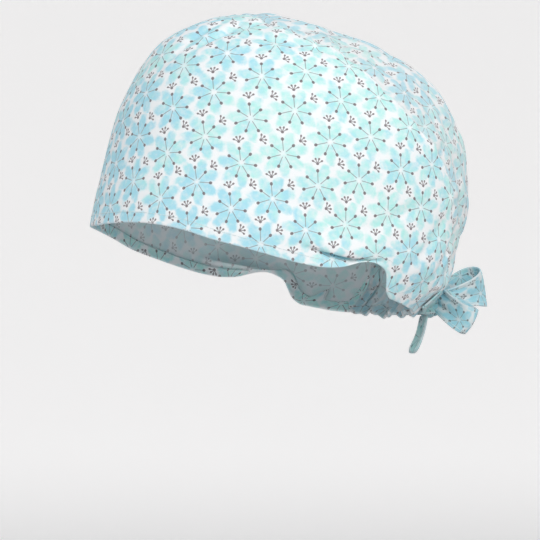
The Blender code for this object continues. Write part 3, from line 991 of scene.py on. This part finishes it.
def flower(tree, place, wobble):
    """One flower of the print: how much stem, pin head and petal there is."""
    radius, angle = from_middle(tree, place)
    sector = math.tau / RAYS
    across, along = in_sector(tree, angle, radius, sector)
    ray = calculate(tree, "ROUND", calculate(tree, "DIVIDE", angle, sector))
    uneven = calculate(tree, "SINE", calculate(tree, "MULTIPLY_ADD", ray, RAY_VARIETY, 1.0))
    reach = calculate(tree, "MULTIPLY_ADD", uneven, RAY_UNEVENNESS, RAY_LENGTH)
    beyond = calculate(tree, "SUBTRACT", along, reach)
    stem = below(tree, calculate(tree, "ABSOLUTE", across), RAY_HALF_WIDTH, RAY_SOFTNESS)
    stem = calculate(tree, "MULTIPLY", stem, below(tree, beyond, 0.0, RAY_TIP_SOFTNESS))
    stem = calculate(tree, "SUBTRACT", stem, below(tree, along, RAY_START, RAY_ROOT_SOFTNESS))
    head = below(tree, blob(tree, across, beyond, HEAD_RADIUS, HEAD_RADIUS * HEAD_LENGTH), 1.0, HEAD_SOFTNESS)
    petal_angle = calculate(tree, "SUBTRACT", angle, sector / 2)
    across, along = in_sector(tree, petal_angle, radius, sector)
    along = calculate(tree, "SUBTRACT", along, PETAL_MIDDLE)
    petal = blob(tree, across, along, PETAL_HALF_WIDTH, PETAL_HALF_LENGTH, wobble)
    return stem, head, below(tree, petal, 1.0, PETAL_SOFTNESS)


def sprig(tree, place):
    """One sprig of the print: four pin heads on short stems that fan out from a thicker foot."""
    radius, angle = from_middle(tree, calculate_place(tree, "MULTIPLY", place, (1.0, SPRIG_FLATNESS, 1.0)))
    angle = calculate(tree, "WRAP", angle, math.pi, -math.pi)
    within = below(tree, calculate(tree, "ABSOLUTE", angle), 2 * SPRIG_GAP, SPRIG_SOFTNESS)
    prong_angle = calculate(tree, "ADD", angle, SPRIG_GAP / 2)
    across, along = in_sector(tree, prong_angle, radius, SPRIG_GAP)
    beyond = calculate(tree, "SUBTRACT", along, SPRIG_PRONG)
    head = blob(tree, across, beyond, SPRIG_HEAD, SPRIG_HEAD * SPRIG_HEAD_LENGTH)
    head = below(tree, head, 1.0, SPRIG_HEAD_SOFTNESS)
    stem = below(tree, calculate(tree, "ABSOLUTE", across), SPRIG_STEM_HALF_WIDTH, SPRIG_STEM_SOFTNESS)
    stem = calculate(tree, "MULTIPLY", stem, below(tree, along, SPRIG_PRONG, SPRIG_TIP_SOFTNESS))
    stem = calculate(tree, "MULTIPLY", stem, STEM_COVER)
    prongs = calculate(tree, "MULTIPLY", within, calculate(tree, "MAXIMUM", head, stem))
    return calculate(tree, "MAXIMUM", prongs, below(tree, radius, SPRIG_FOOT, SPRIG_FOOT_SOFTNESS))


def noise(tree, place, scale, detail=2.0):
    """Soft noise from 0 to 1."""
    node = tree.nodes.new("ShaderNodeTexNoise")
    feed(tree, node.inputs["Vector"], place)
    node.inputs["Scale"].default_value = scale
    node.inputs["Detail"].default_value = detail
    return node.outputs["Fac"]


def blend(tree, share, below_colour, above_colour):
    """Mixes two colours."""
    node = tree.nodes.new("ShaderNodeMix")
    node.data_type = "RGBA"
    feed(tree, node.inputs["Factor"], share)
    feed(tree, node.inputs[6], below_colour)
    feed(tree, node.inputs[7], above_colour)
    return node.outputs[2]


def cloud(tree, place, name):
    """Cloudy unevenness, as its row in the table says."""
    scale, detail, contrast, offset = CLOUDS[name]
    return calculate(tree, "MULTIPLY_ADD", noise(tree, place, scale, detail), contrast, offset)


def motif_place(tree, repeat, centre, turn=0.0):
    """The place seen from the nearest motif of one kind."""
    across = math.cos(REPEAT_TURN) * centre[0] + math.sin(REPEAT_TURN) * centre[1]
    up = math.cos(REPEAT_TURN) * centre[1] - math.sin(REPEAT_TURN) * centre[0]
    middle = (across / REPEAT_WIDTH, up / REPEAT_HEIGHT, 0.0)
    centred = calculate_place(tree, "SUBTRACT", repeat, middle)
    wrapped = calculate_place(tree, "WRAP", centred, (0.5, 0.5, 0.5), (-0.5, -0.5, -0.5))
    sized = calculate_place(tree, "MULTIPLY", wrapped, (REPEAT_WIDTH, REPEAT_HEIGHT, 0.0))
    return turned_place(tree, sized, REPEAT_TURN - turn)


def most(tree, values):
    """The highest of several values."""
    highest = values[0]
    for value in values[1:]:
        highest = calculate(tree, "MAXIMUM", highest, value)
    return highest


def petal_wash(tree, flat):
    """The dye of the petals: how blue it is, and how strong."""
    parts = tree.nodes.new("ShaderNodeSeparateXYZ")
    feed(tree, parts.inputs[0], flat)
    wash = calculate(tree, "ADD", cloud(tree, flat, "wide wash"), cloud(tree, flat, "small wash"))
    band = calculate(tree, "COSINE", calculate(tree, "MULTIPLY", parts.outputs["X"], math.tau / WASH_BAND))
    wash = calculate(tree, "MULTIPLY_ADD", band, BAND_BLUE, wash)
    wash = calculate(tree, "MULTIPLY_ADD", below(tree, parts.outputs["Y"], *HEM_BLUE_BELOW), HEM_BLUE, wash)
    blue = below(tree, wash, BLUE_MIDDLE, BLUE_SOFTNESS)
    strength = calculate(tree, "MULTIPLY_ADD", blue, BLUE_STRENGTH, cloud(tree, flat, "strength"))
    return blue, calculate(tree, "MINIMUM", strength, 1.0)


def cotton_material(name, fading=0.0, shade=None, shading=0.0):
    """Printed plain-weave cotton, with a share of its print lost, and a share of painted shade laid over it.
    """
    material = bpy.data.materials.new(name)
    material.use_nodes = True
    tree = material.node_tree
    shader = tree.nodes["Principled BSDF"]
    print_map = tree.nodes.new("ShaderNodeUVMap")
    print_map.uv_map = "print"
    flat = calculate_place(tree, "SCALE", print_map.outputs["UV"])
    flat.node.inputs["Scale"].default_value = CHART_PER_METRE
    repeat = turned_place(tree, flat, -REPEAT_TURN)
    repeat = calculate_place(tree, "MULTIPLY", repeat, (1 / REPEAT_WIDTH, 1 / REPEAT_HEIGHT, 0.0))
    wobble = cloud(tree, flat, "petal edge")
    flowers = [flower(tree, motif_place(tree, repeat, centre), wobble) for centre in FLOWERS]
    stems, heads, petals = (list(parts) for parts in zip(*flowers))
    heads += [sprig(tree, motif_place(tree, repeat, centre)) for centre in SPRIG_ABOVE]
    heads += [sprig(tree, motif_place(tree, repeat, centre, SPRIG_TURN)) for centre in SPRIG_ASIDE]

    blue, strength = petal_wash(tree, flat)
    dye = blend(tree, blue, PETAL_MINT, PETAL_BLUE)
    colour = blend(tree, calculate(tree, "MULTIPLY", most(tree, petals), strength), COTTON_WHITE, dye)
    colour = blend(tree, calculate(tree, "MULTIPLY", most(tree, stems), STEM_COVER), colour, STEM_INK)
    colour = blend(tree, calculate(tree, "MULTIPLY", most(tree, heads), HEAD_COVER), colour, HEAD_INK)
    wear = tree.nodes.new("ShaderNodeAttribute")
    wear.attribute_name = "edge_wear"
    rubbed = calculate(tree, "MULTIPLY", wear.outputs["Fac"], cloud(tree, flat, "rubbing"))
    colour = blend(tree, calculate(tree, "MULTIPLY", rubbed, EDGE_RUBBING), colour, COTTON_WHITE)
    if fading:
        colour = blend(tree, fading, colour, COTTON_WHITE)
    # Painted shade: a darker colour blended over the print
    if shade:
        colour = blend(tree, shading, colour, shade)
    tree.links.new(colour, shader.inputs["Base Color"])

    # The weave: uneven threads both ways
    close, wide = THREADS_PER_MILLIMETRE, THREAD_CHANGES
    warp = noise(tree, calculate_place(tree, "MULTIPLY", flat, (close, wide, 0.0)), 1.0, 1.0)
    weft = noise(tree, calculate_place(tree, "MULTIPLY", flat, (wide, close, 0.0)), 1.0, 1.0)
    threads = calculate(tree, "ADD", warp, weft)
    bump = tree.nodes.new("ShaderNodeBump")
    bump.inputs["Strength"].default_value = WEAVE_STRENGTH
    bump.inputs["Distance"].default_value = WEAVE_HEIGHT
    tree.links.new(threads, bump.inputs["Height"])
    tree.links.new(bump.outputs["Normal"], shader.inputs["Normal"])
    rough = calculate(tree, "MULTIPLY_ADD", threads, WEAVE_ROUGHNESS, COTTON_ROUGHNESS)
    tree.links.new(rough, shader.inputs["Roughness"])
    shader.inputs["Sheen Weight"].default_value = COTTON_SHEEN
    shader.inputs["Sheen Roughness"].default_value = COTTON_SHEEN_ROUGHNESS
    return material


printed_cotton = cotton_material("printed_cotton_right_side")
printed_cotton_reverse = cotton_material("printed_cotton_reverse", fading=REVERSE_FADING)
# The bow loops, the ties with the knot and free ends, and the crown take painted shade in their colour
printed_cotton_loop_painted_shade = cotton_material(
    "printed_cotton_loop_painted_shade", shade=PAINTED_STRAP_SHADE_COLOUR, shading=LOOP_PAINTED_SHADE_SHARE
)
printed_cotton_tie_painted_shade = cotton_material("printed_cotton_tie_painted_shade", shade=PAINTED_STRAP_SHADE_COLOUR, shading=TIE_PAINTED_SHADE_SHARE)
printed_cotton_crown_painted_shade = cotton_material("printed_cotton_crown_painted_shade", shade=CROWN_PAINTED_SHADE_COLOUR, shading=CROWN_PAINTED_SHADE_SHARE)

side_place = worn_place(side_patch, side_seam_distance)
side_cloth = turned_panel(
    "side_cloth", side_patch, side_place, (SIDE_COLUMNS, SIDE_ROWS),
    (ALLOWANCE, ALLOWANCE, HEM_WIDTH, ALLOWANCE), HEM_CROWDING, SIDE_UPRIGHT_AT, SIDE_ORIGIN,
    1.0, printed_cotton,
)
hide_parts("side_panel")
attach(side_cloth, "root")


# Topstitching along the hem, in pale thread, on the outside and the inside
THREAD_RADIUS = 0.00014
THREAD_SIDES = 6
THREAD_LIFT = 0.6
STITCH = 0.0028
STITCH_STEPS = 6
STITCH_DIP = 0.00045
DIP_STEEPNESS = 2.2
HEM_STITCHING = 0.0055
HEM_STITCHING_LIMIT = 0.3
HEM_POINTS = 900
SIDE_STITCHING_FROM = 0.02
THREAD_WHITE = (0.72, 0.84, 0.85, 1.0)
THREAD_SHADOW = (0.6192, 0.7224, 0.731, 1.0)
THREAD_TWIST = 2600.0
THREAD_ROUGHNESS = 0.55
THREAD_SHEEN = 0.2
AT_END = 1e-6
MERGE_WITHIN = 1e-7


def thread_material():
    """Twisted polyester sewing thread."""
    material = bpy.data.materials.new("sewing_thread")
    material.use_nodes = True
    tree = material.node_tree
    shader = tree.nodes["Principled BSDF"]
    place = tree.nodes.new("ShaderNodeTexCoord").outputs["Object"]
    colour = blend(tree, noise(tree, place, THREAD_TWIST, 1.0), THREAD_SHADOW, THREAD_WHITE)
    tree.links.new(colour, shader.inputs["Base Color"])
    shader.inputs["Roughness"].default_value = THREAD_ROUGHNESS
    shader.inputs["Sheen Weight"].default_value = THREAD_SHEEN
    return material


sewing_thread = thread_material()


def read_path(path, lengths, at):
    """Reads a path at lengths along it."""
    return np.stack([np.interp(at, lengths, path[:, axis]) for axis in range(3)], axis=-1)


def sewn_row(name, points, normals):
    """A row of stitches: a thread that lies on the cloth and dips into it between stitches."""
    lengths = np.concatenate(([0.0], np.cumsum(np.linalg.norm(np.diff(points, axis=0), axis=1))))
    stitches = round(lengths[-1] / STITCH)
    piece, along, around = cloth_grid(name, stitches * STITCH_STEPS, THREAD_SIDES)
    at = along * lengths[-1]
    middle = read_path(points, lengths, at)
    normal = read_path(normals, lengths, at)
    normal /= np.linalg.norm(normal, axis=1, keepdims=True)
    run = read_path(points, lengths, at + STITCH / 4) - read_path(points, lengths, at - STITCH / 4)
    side = np.cross(run, normal)
    side /= np.linalg.norm(side, axis=1, keepdims=True)
    dip = np.clip(DIP_STEEPNESS * (np.cos(math.tau * along * stitches) - 0.5), 0, 1) * STITCH_DIP
    middle += normal * (THREAD_RADIUS * THREAD_LIFT - dip)[:, None]
    # The thread closes to a point at either end
    radius = np.where((along < AT_END) | (along > 1 - AT_END), 0.0, THREAD_RADIUS)[:, None]
    turn = (math.tau * around)[:, None]
    set_points(piece, middle + radius * (np.cos(turn) * normal + np.sin(turn) * side))
    bpy.ops.object.mode_set(mode="EDIT")
    bpy.ops.mesh.select_all(action="SELECT")
    bpy.ops.mesh.remove_doubles(threshold=MERGE_WITHIN)
    bpy.ops.mesh.normals_make_consistent(inside=False)
    bpy.ops.object.mode_set(mode="OBJECT")
    piece.data.shade_smooth()
    piece.data.materials.append(sewing_thread)
    return piece


def joined(name, rows):
    """Several rows of stitches as one piece."""
    bpy.ops.object.select_all(action="DESELECT")
    for row in rows:
        row.select_set(True)
    bpy.context.view_layer.objects.active = rows[0]
    bpy.ops.object.join()
    rows[0].name = name
    return rows[0]


def row_on_cloth(name, place, across, up, depth, facing):
    """A row of stitches at a depth below the cloth's right side, facing out (1) or in (-1)."""
    points = place(across, up, -depth)
    outside = place(across, up, MILLIMETRE - depth)
    return sewn_row(name, points, facing * (outside - points))


def hem_rows(name, place, patch, margin, edge, upwards):
    """Stitches along the hem at one edge of a panel, on both faces. upwards is 1 or -1, into the panel."""
    across = np.linspace(margin, 1 - margin, HEM_POINTS)
    edge = np.full(HEM_POINTS, edge)
    share = HEM_STITCHING / panel_length(patch, across, edge, 0, PROBE_STEP * upwards)
    up = edge + np.minimum(share, HEM_STITCHING_LIMIT) * upwards
    outer = row_on_cloth(name, place, across, up, 0.0, 1)
    inner = row_on_cloth(name + "_inside", place, across, up, 2 * TURN_RADIUS + COTTON, -1)
    return joined(name, [outer, inner])


side_stitching = hem_rows("side_hem_stitching", side_place, side_patch, SIDE_STITCHING_FROM, 0.0, 1)
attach(side_stitching, "root")


# Crown panel
# The top and back of the cap, in the same cotton. It is eased into the side panel along a curved
# seam and gathered at the nape, where the ties draw it in. Its lower edge is a narrow hem.
CROWN_CORNER = 0.2
CROWN_WIDTH = 0.13
CROWN_LENGTH = 0.224
CROWN_FULLNESS = 1.4
CROWN_COLUMNS = 150
CROWN_ROWS = 170
CROWN_UPRIGHT_AT = (0.5, 0.6)
CROWN_ORIGIN = (0.31, 0.07)
CROWN_STITCHING_FROM = 0.04


def crown_patch(across, down):
    """The crown panel: from right to left, and from the front of the crown down to the nape."""
    side = 2 * across - 1
    seam_share = CROWN_CORNER + (1 - CROWN_CORNER) * down
    nape_corner = seam_place(1.0)[0]
    other_side = np.array((-1.0, 1.0))[:, None]
    front = np.stack(flattened(*seam_place(side * CROWN_CORNER)))
    nape_angle = math.pi - (math.pi - nape_corner) * side
    nape = np.stack(flattened(nape_angle, hem_rise(nape_angle)))
    left = np.stack(flattened(*seam_place(seam_share)))
    front_left = np.array(flattened(*seam_place(CROWN_CORNER)))[:, None]
    nape_left = np.array(flattened(nape_corner, hem_rise(nape_corner)))[:, None]
    lengthwise = front * (1 - down) + nape * down
    crosswise = left * other_side * (1 - across) + left * across
    corners_front = front_left * other_side * (1 - across) + front_left * across
    corners_nape = nape_left * other_side * (1 - across) + nape_left * across
    corners = corners_front * (1 - down) + corners_nape * down
    return unflattened(*(lengthwise + crosswise - corners))


def crown_seam_distance(across, down):
    """Distance from the seam, and the place along it."""
    side = 2 * across - 1
    from_side = (1 - np.abs(side)) / 2 * CROWN_WIDTH
    from_front = down * CROWN_LENGTH
    along_side = CROWN_CORNER + (1 - CROWN_CORNER) * down
    along = np.where(from_side < from_front, along_side, np.abs(side) * CROWN_CORNER)
    return np.minimum(from_side, from_front), np.copysign(along, side)


crown_place = worn_place(crown_patch, crown_seam_distance, crinkled=True)
# The crown's cotton carries painted shade in its colour, for the shade of its fine crinkles
crown_cloth = turned_panel(
    "crown_cloth", crown_patch, crown_place, (CROWN_COLUMNS, CROWN_ROWS),
    (ALLOWANCE, ALLOWANCE, ALLOWANCE, HEM_WIDTH), 1.0, CROWN_UPRIGHT_AT, CROWN_ORIGIN,
    CROWN_FULLNESS, printed_cotton_crown_painted_shade,
)
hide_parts("crown_panel")
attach(crown_cloth, "root")
crown_stitching = hem_rows("crown_hem_stitching", crown_place, crown_patch, CROWN_STITCHING_FROM, 1.0, -1)
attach(crown_stitching, "root")


# Ties
# Flat straps of the same cotton, folded double and stitched along both edges. They come from the
# rear ends of the side panel, lie over the gathers and meet in the knot at the nape.
STRAP_WIDTH = 0.0200
STRAP_THICKNESS = 0.0010
STRAP_CLEARANCE = 0.0004
EDGE_STITCHING = 0.12
STRAP_STITCHING_FROM = 0.03
STRAP_STITCHING_POINTS = 240
ACROSS_STEP = 0.05
KNOT_MIDDLE = Vector((0.0, 0.08704, -0.01722))
KNOT_WIDTH = 0.0140
KNOT_DEPTH = 0.0110
KNOT_HEIGHT = 0.0130
KNOT_RISE = 0.041
TIE_START = math.radians(151)
TIE_START_RISE = 0.050
TIE_START_SPREAD = 0.58
TIE_END_SPREAD = 0.42
TIE_LIFT_OFF = 0.5
TIE_CREASE = 0.0005
TIE_CREASES_ACROSS = 9
TIE_CREASE_SLANT = 4
TIE_IN_KNOT = 0.0012
TIE_ROOT_CREASE = 0.0012
TIE_ROOT_CREASES = 11
TIE_LENGTH = 0.052
TIE_STEPS = (56, 14)


def strap(name, place, steps, flat_length, origin, material):
    """A flat strap: place(along, across) gives its points."""
    piece, along, across = cloth_grid(name, *steps)
    set_points(piece, place(along, across))
    set_print_map(piece, np.stack((across * STRAP_WIDTH, along * flat_length), axis=-1) + np.array(origin))
    set_edge_wear(piece, np.minimum(across, 1 - across) * STRAP_WIDTH)
    piece.data.shade_smooth()
    thickness = piece.modifiers.new("doubled cotton", "SOLIDIFY")
    thickness.thickness = STRAP_THICKNESS
    thickness.offset = 0.0
    rounding = piece.modifiers.new("soft edges", "SUBSURF")
    rounding.levels = 1
    rounding.render_levels = 1
    piece.data.materials.append(material)
    bpy.ops.object.modifier_apply(modifier="doubled cotton")
    bpy.ops.object.modifier_apply(modifier="soft edges")
    return piece


def strap_rows(name, place):
    """Rows of stitches along both edges of a strap, on both faces."""
    along = np.linspace(STRAP_STITCHING_FROM, 1 - STRAP_STITCHING_FROM, STRAP_STITCHING_POINTS)
    rows = []
    for edge in (EDGE_STITCHING, 1 - EDGE_STITCHING):
        across = np.full(STRAP_STITCHING_POINTS, edge)
        points = place(along, across)
        run = place(along + PROBE_STEP, across) - place(along - PROBE_STEP, across)
        normal = np.cross(run, place(along, across + ACROSS_STEP) - place(along, across - ACROSS_STEP))
        normal /= np.linalg.norm(normal, axis=1, keepdims=True)
        for facing in (1, -1):
            outside = facing * normal
            rows.append(sewn_row(name, points + outside * STRAP_THICKNESS / 2, outside))
    return joined(name, rows)


def over_gathers(angle, rise, outward):
    """Points that lie over the crests of the gathers."""
    outward = outward + GATHER_DEPTH * gather_share(angle, rise) - nape_pinch(angle, rise)
    return cap_points(angle, rise, outward)


def tie_points(along, across):
    """The left tie, from the rear end of the side panel over the gathers to the knot."""
    end = math.pi - KNOT_WIDTH / 2 / HALF_WIDTH
    angle = TIE_START + (end - TIE_START) * along
    width = STRAP_WIDTH * (TIE_START_SPREAD + (TIE_END_SPREAD - TIE_START_SPREAD) * along)
    aside = (across - 0.5) * width
    middle = TIE_START_RISE + (KNOT_RISE - TIE_START_RISE) * along
    crease = TIE_CREASE * np.sin(across * TIE_CREASES_ACROSS + along * TIE_CREASE_SLANT) * along
    on_cap = over_gathers(angle, middle + aside / CLOTH_HEIGHT, STRAP_CLEARANCE + crease)
    in_knot = np.full(np.shape(along), KNOT_WIDTH / 2 - TIE_IN_KNOT)
    root_crease = TIE_ROOT_CREASE * np.sin(across * TIE_ROOT_CREASES)
    at_knot = np.array(KNOT_MIDDLE) + np.stack((in_knot, root_crease, aside), axis=-1)
    to_knot = (np.clip((along - TIE_LIFT_OFF) / (1 - TIE_LIFT_OFF), 0, 1) ** 2)[:, None]
    return on_cap * (1 - to_knot) + at_knot * to_knot


def mirrored_tie_points(along, across):
    """The right tie, on the other side of the cap."""
    return tie_points(along, 1 - across) * np.array((-1.0, 1.0, 1.0))


# The ties carry painted shade in their colour, for the shade where they meet the knot at the nape
left_tie = strap("left_tie", tie_points, TIE_STEPS, TIE_LENGTH, (0.03, 0.2), printed_cotton_tie_painted_shade)
right_tie = strap("right_tie", mirrored_tie_points, TIE_STEPS, TIE_LENGTH, (0.07, 0.21), printed_cotton_tie_painted_shade)
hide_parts("tie_left")
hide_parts("tie_right")
left_tie_stitching = strap_rows("left_tie_stitching", tie_points)
right_tie_stitching = strap_rows("right_tie_stitching", mirrored_tie_points)
for piece in (left_tie, right_tie, left_tie_stitching, right_tie_stitching):
    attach(piece, "root")


# Bow loops
# The same straps, each folded back on itself into a loop. They are pleated where the knot grips
# them and open out to their full width at the far end.
LOOP_STEPS = (84, 24)
LOOP_CLOTH = 2.2
LOOP_END_ROUNDING = 0.0026
PLEAT_DEPTH = 0.0011
PLEAT_FADE = 1.6
PLEATS = 7.0
PLEAT_START = 0.6
HOLLOW_DEPTH = 0.0016
HOLLOW_WAVE = 0.7
HOLLOW_WAVES = 2.6
HOLLOW_START = 0.9
SPREAD_FADE = 1.5
# Columns: piece, node, start, then length, sideways, climb, roll, spread at the knot, spread at the
# far end, opening, lean and place on the print
BOW_LOOPS = (
    ("left_bow_loop", "bow_loop_left", (0.0034, 0.0915, -0.0140),
        0.0262, 70, -28, -12, 0.62, 0.72, 0.0065, 0.0, (0.11, 0.2)),
    ("right_bow_loop", "bow_loop_right", (-0.0022, 0.0917, -0.0138),
        0.0385, -28, 12, 6, 0.42, 1.10, 0.0105, 0.0024, (0.16, 0.21)),
)


def loop_points(start, length, sideways, climb, roll, root_spread, spread, opening, lean):
    """A loop from the knot out and back. Its angles are from straight back and above level."""
    out = direction(180 - sideways, climb)
    upright = (Vector((0, 0, 1)) - out * out.z).normalized()
    width = Matrix.Rotation(math.radians(roll), 3, out) @ upright
    apart = width.cross(out)

    def points(along, across):
        away, back = np.sin(math.pi * along), np.cos(math.pi * along)
        side = 2 * across - 1
        reach = length * away - LOOP_END_ROUNDING * side**2 * away**4 - lean * side * away
        # The loop's two layers, their pleats at the knot and the soft hollows that run out of them
        pleat = PLEAT_DEPTH * (1 - away) ** PLEAT_FADE * np.sin(side * PLEATS + PLEAT_START)
        hollow = HOLLOW_DEPTH * away * (side**2 - HOLLOW_WAVE * np.cos(side * HOLLOW_WAVES + HOLLOW_START))
        layer = (STRAP_THICKNESS + opening * away + pleat + hollow) * back
        fullness = root_spread + (spread - root_spread) * away**SPREAD_FADE
        aside = STRAP_WIDTH / 2 * fullness * side
        return np.array(start) + np.outer(reach, out) + np.outer(layer, apart) + np.outer(aside, width)

    return points


# The loops carry painted shade in their colour, for the shade they lie in behind the cap
for name, node, start, length, sideways, climb, roll, root_spread, spread, opening, lean, origin in BOW_LOOPS:
    points = loop_points(start, length, sideways, climb, roll, root_spread, spread, opening, lean)
    flat_size = STRAP_WIDTH * (root_spread + spread) / 2, LOOP_CLOTH * length
    loop = strap(name, points, LOOP_STEPS, flat_size[1], origin, printed_cotton_loop_painted_shade)
    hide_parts(node)
    stitching = strap_rows(name + "_stitching", points)
    for piece in (loop, stitching):
        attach(piece, "root")


# Knot
# The ties are crossed and drawn tight round the loops, so the knot is a small firm lump with the
# turns of the strap and their creases across it.
KNOT_STEPS = 72
KNOT_SQUARENESS = 3
KNOT_PRINT_AT = 0.2
WRAPS = 9
WRAP_SLANT = 0.6
WRAP_BEND = 0.7
WRAP_BENDS = 3
WRAP_DEPTH = 0.11
WRAP_SHARPNESS = 6
CREASE_DEPTH = 0.02
CREASES = 2.7
CREASE_SLANT = 5


def knot_piece():
    """A ball pressed into the knot's shape, with the turns of the strap pulled into it."""
    bpy.ops.object.select_all(action="DESELECT")
    bpy.ops.mesh.primitive_uv_sphere_add(segments=KNOT_STEPS, ring_count=KNOT_STEPS // 2, radius=1.0)
    piece = bpy.context.object
    piece.name = "bow_knot"
    out = points_of(piece)
    out /= np.linalg.norm(out, axis=1, keepdims=True)
    turns = WRAPS * (out[:, 2] + WRAP_SLANT * out[:, 0]) + WRAP_BEND * np.sin(WRAP_BENDS * out[:, 0] + 1)
    groove = WRAP_DEPTH * np.abs(np.cos(turns / 2)) ** WRAP_SHARPNESS
    crease = CREASE_DEPTH * np.sin(turns * CREASES + CREASE_SLANT * out[:, 1])
    square = (np.abs(out) ** KNOT_SQUARENESS).sum(axis=1) ** (-1 / KNOT_SQUARENESS)
    # Half round and half square, and its corners reach the half sizes
    corner = 3 ** (1 / 2 - 1 / KNOT_SQUARENESS)
    swell = (1 - groove - crease) * (1 + square) / (1 + corner)
    half = np.array((KNOT_WIDTH, KNOT_DEPTH, KNOT_HEIGHT)) / 2
    set_points(piece, np.array(KNOT_MIDDLE) + out * swell[:, None] * half)
    around = np.arctan2(out[:, 0], out[:, 1]) * KNOT_WIDTH / 2
    set_print_map(piece, np.stack((around, out[:, 2] * KNOT_HEIGHT / 2), axis=-1) + KNOT_PRINT_AT)
    piece.data.shade_smooth()
    # The knot carries painted shade in its colour
    piece.data.materials.append(printed_cotton_tie_painted_shade)
    return piece


bow_knot = knot_piece()
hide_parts("tie_knot")
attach(bow_knot, "root")


# Free ends
# The two ends of the ties hang from under the knot, folded narrow and slightly twisted.
TAIL_STEPS = (30, 14)
TAIL_LENGTH = 0.0180
TAIL_ROOT_SPREAD = 0.45
TAIL_TIP_SPREAD = 0.44
TAIL_ROUNDING = 0.16
TAIL_TIP_BLUNTNESS = 1.12
TAIL_DRIFT = 0.18
TAIL_BOW = 0.06
TAIL_CURL = 0.0006
TAIL_CURL_WAVES = 7
TAIL_TWIST = 0.15
# Columns: piece, node, start, sideways, lean in degrees, place on the print
TIE_TAILS = (
    ("left_free_end", "tie_tail_left", (0.0035, 0.0833, -0.0222), 1, 24, (0.24, 0.2)),
    ("right_free_end", "tie_tail_right", (-0.0035, 0.0858, -0.0231), -1, 15, (0.28, 0.21)),
)


def tail_points(start, sideways, lean):
    """A free end that hangs down with its face to the back."""
    forwards = math.tan(math.radians(lean)) * TAIL_LENGTH

    def points(along, across):
        spread = TAIL_ROOT_SPREAD + (TAIL_TIP_SPREAD - TAIL_ROOT_SPREAD) * np.sin(along * math.pi / 2)
        near_tip = np.clip(along - 1 + TAIL_ROUNDING, 0, None) / (TAIL_ROUNDING * TAIL_TIP_BLUNTNESS)
        aside = (across - 0.5) * STRAP_WIDTH * spread * np.sqrt(1 - near_tip**2)
        drift = sideways * STRAP_WIDTH * TAIL_DRIFT * along
        bowed = TAIL_BOW * TAIL_LENGTH * np.sin(math.pi * along)
        curl = TAIL_CURL * np.cos((across - 0.5) * TAIL_CURL_WAVES)
        behind = bowed + curl + TAIL_TWIST * aside * along - forwards * along
        return np.array(start) + np.stack((drift + aside, behind, -TAIL_LENGTH * along), axis=-1)

    return points


# The free ends carry painted shade in their colour
for name, node, start, sideways, lean, origin in TIE_TAILS:
    points = tail_points(start, sideways, lean)
    tail = strap(name, points, TAIL_STEPS, TAIL_LENGTH, origin, printed_cotton_tie_painted_shade)
    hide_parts(node)
    stitching = strap_rows(name + "_stitching", points)
    for piece in (tail, stitching):
        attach(piece, "root")
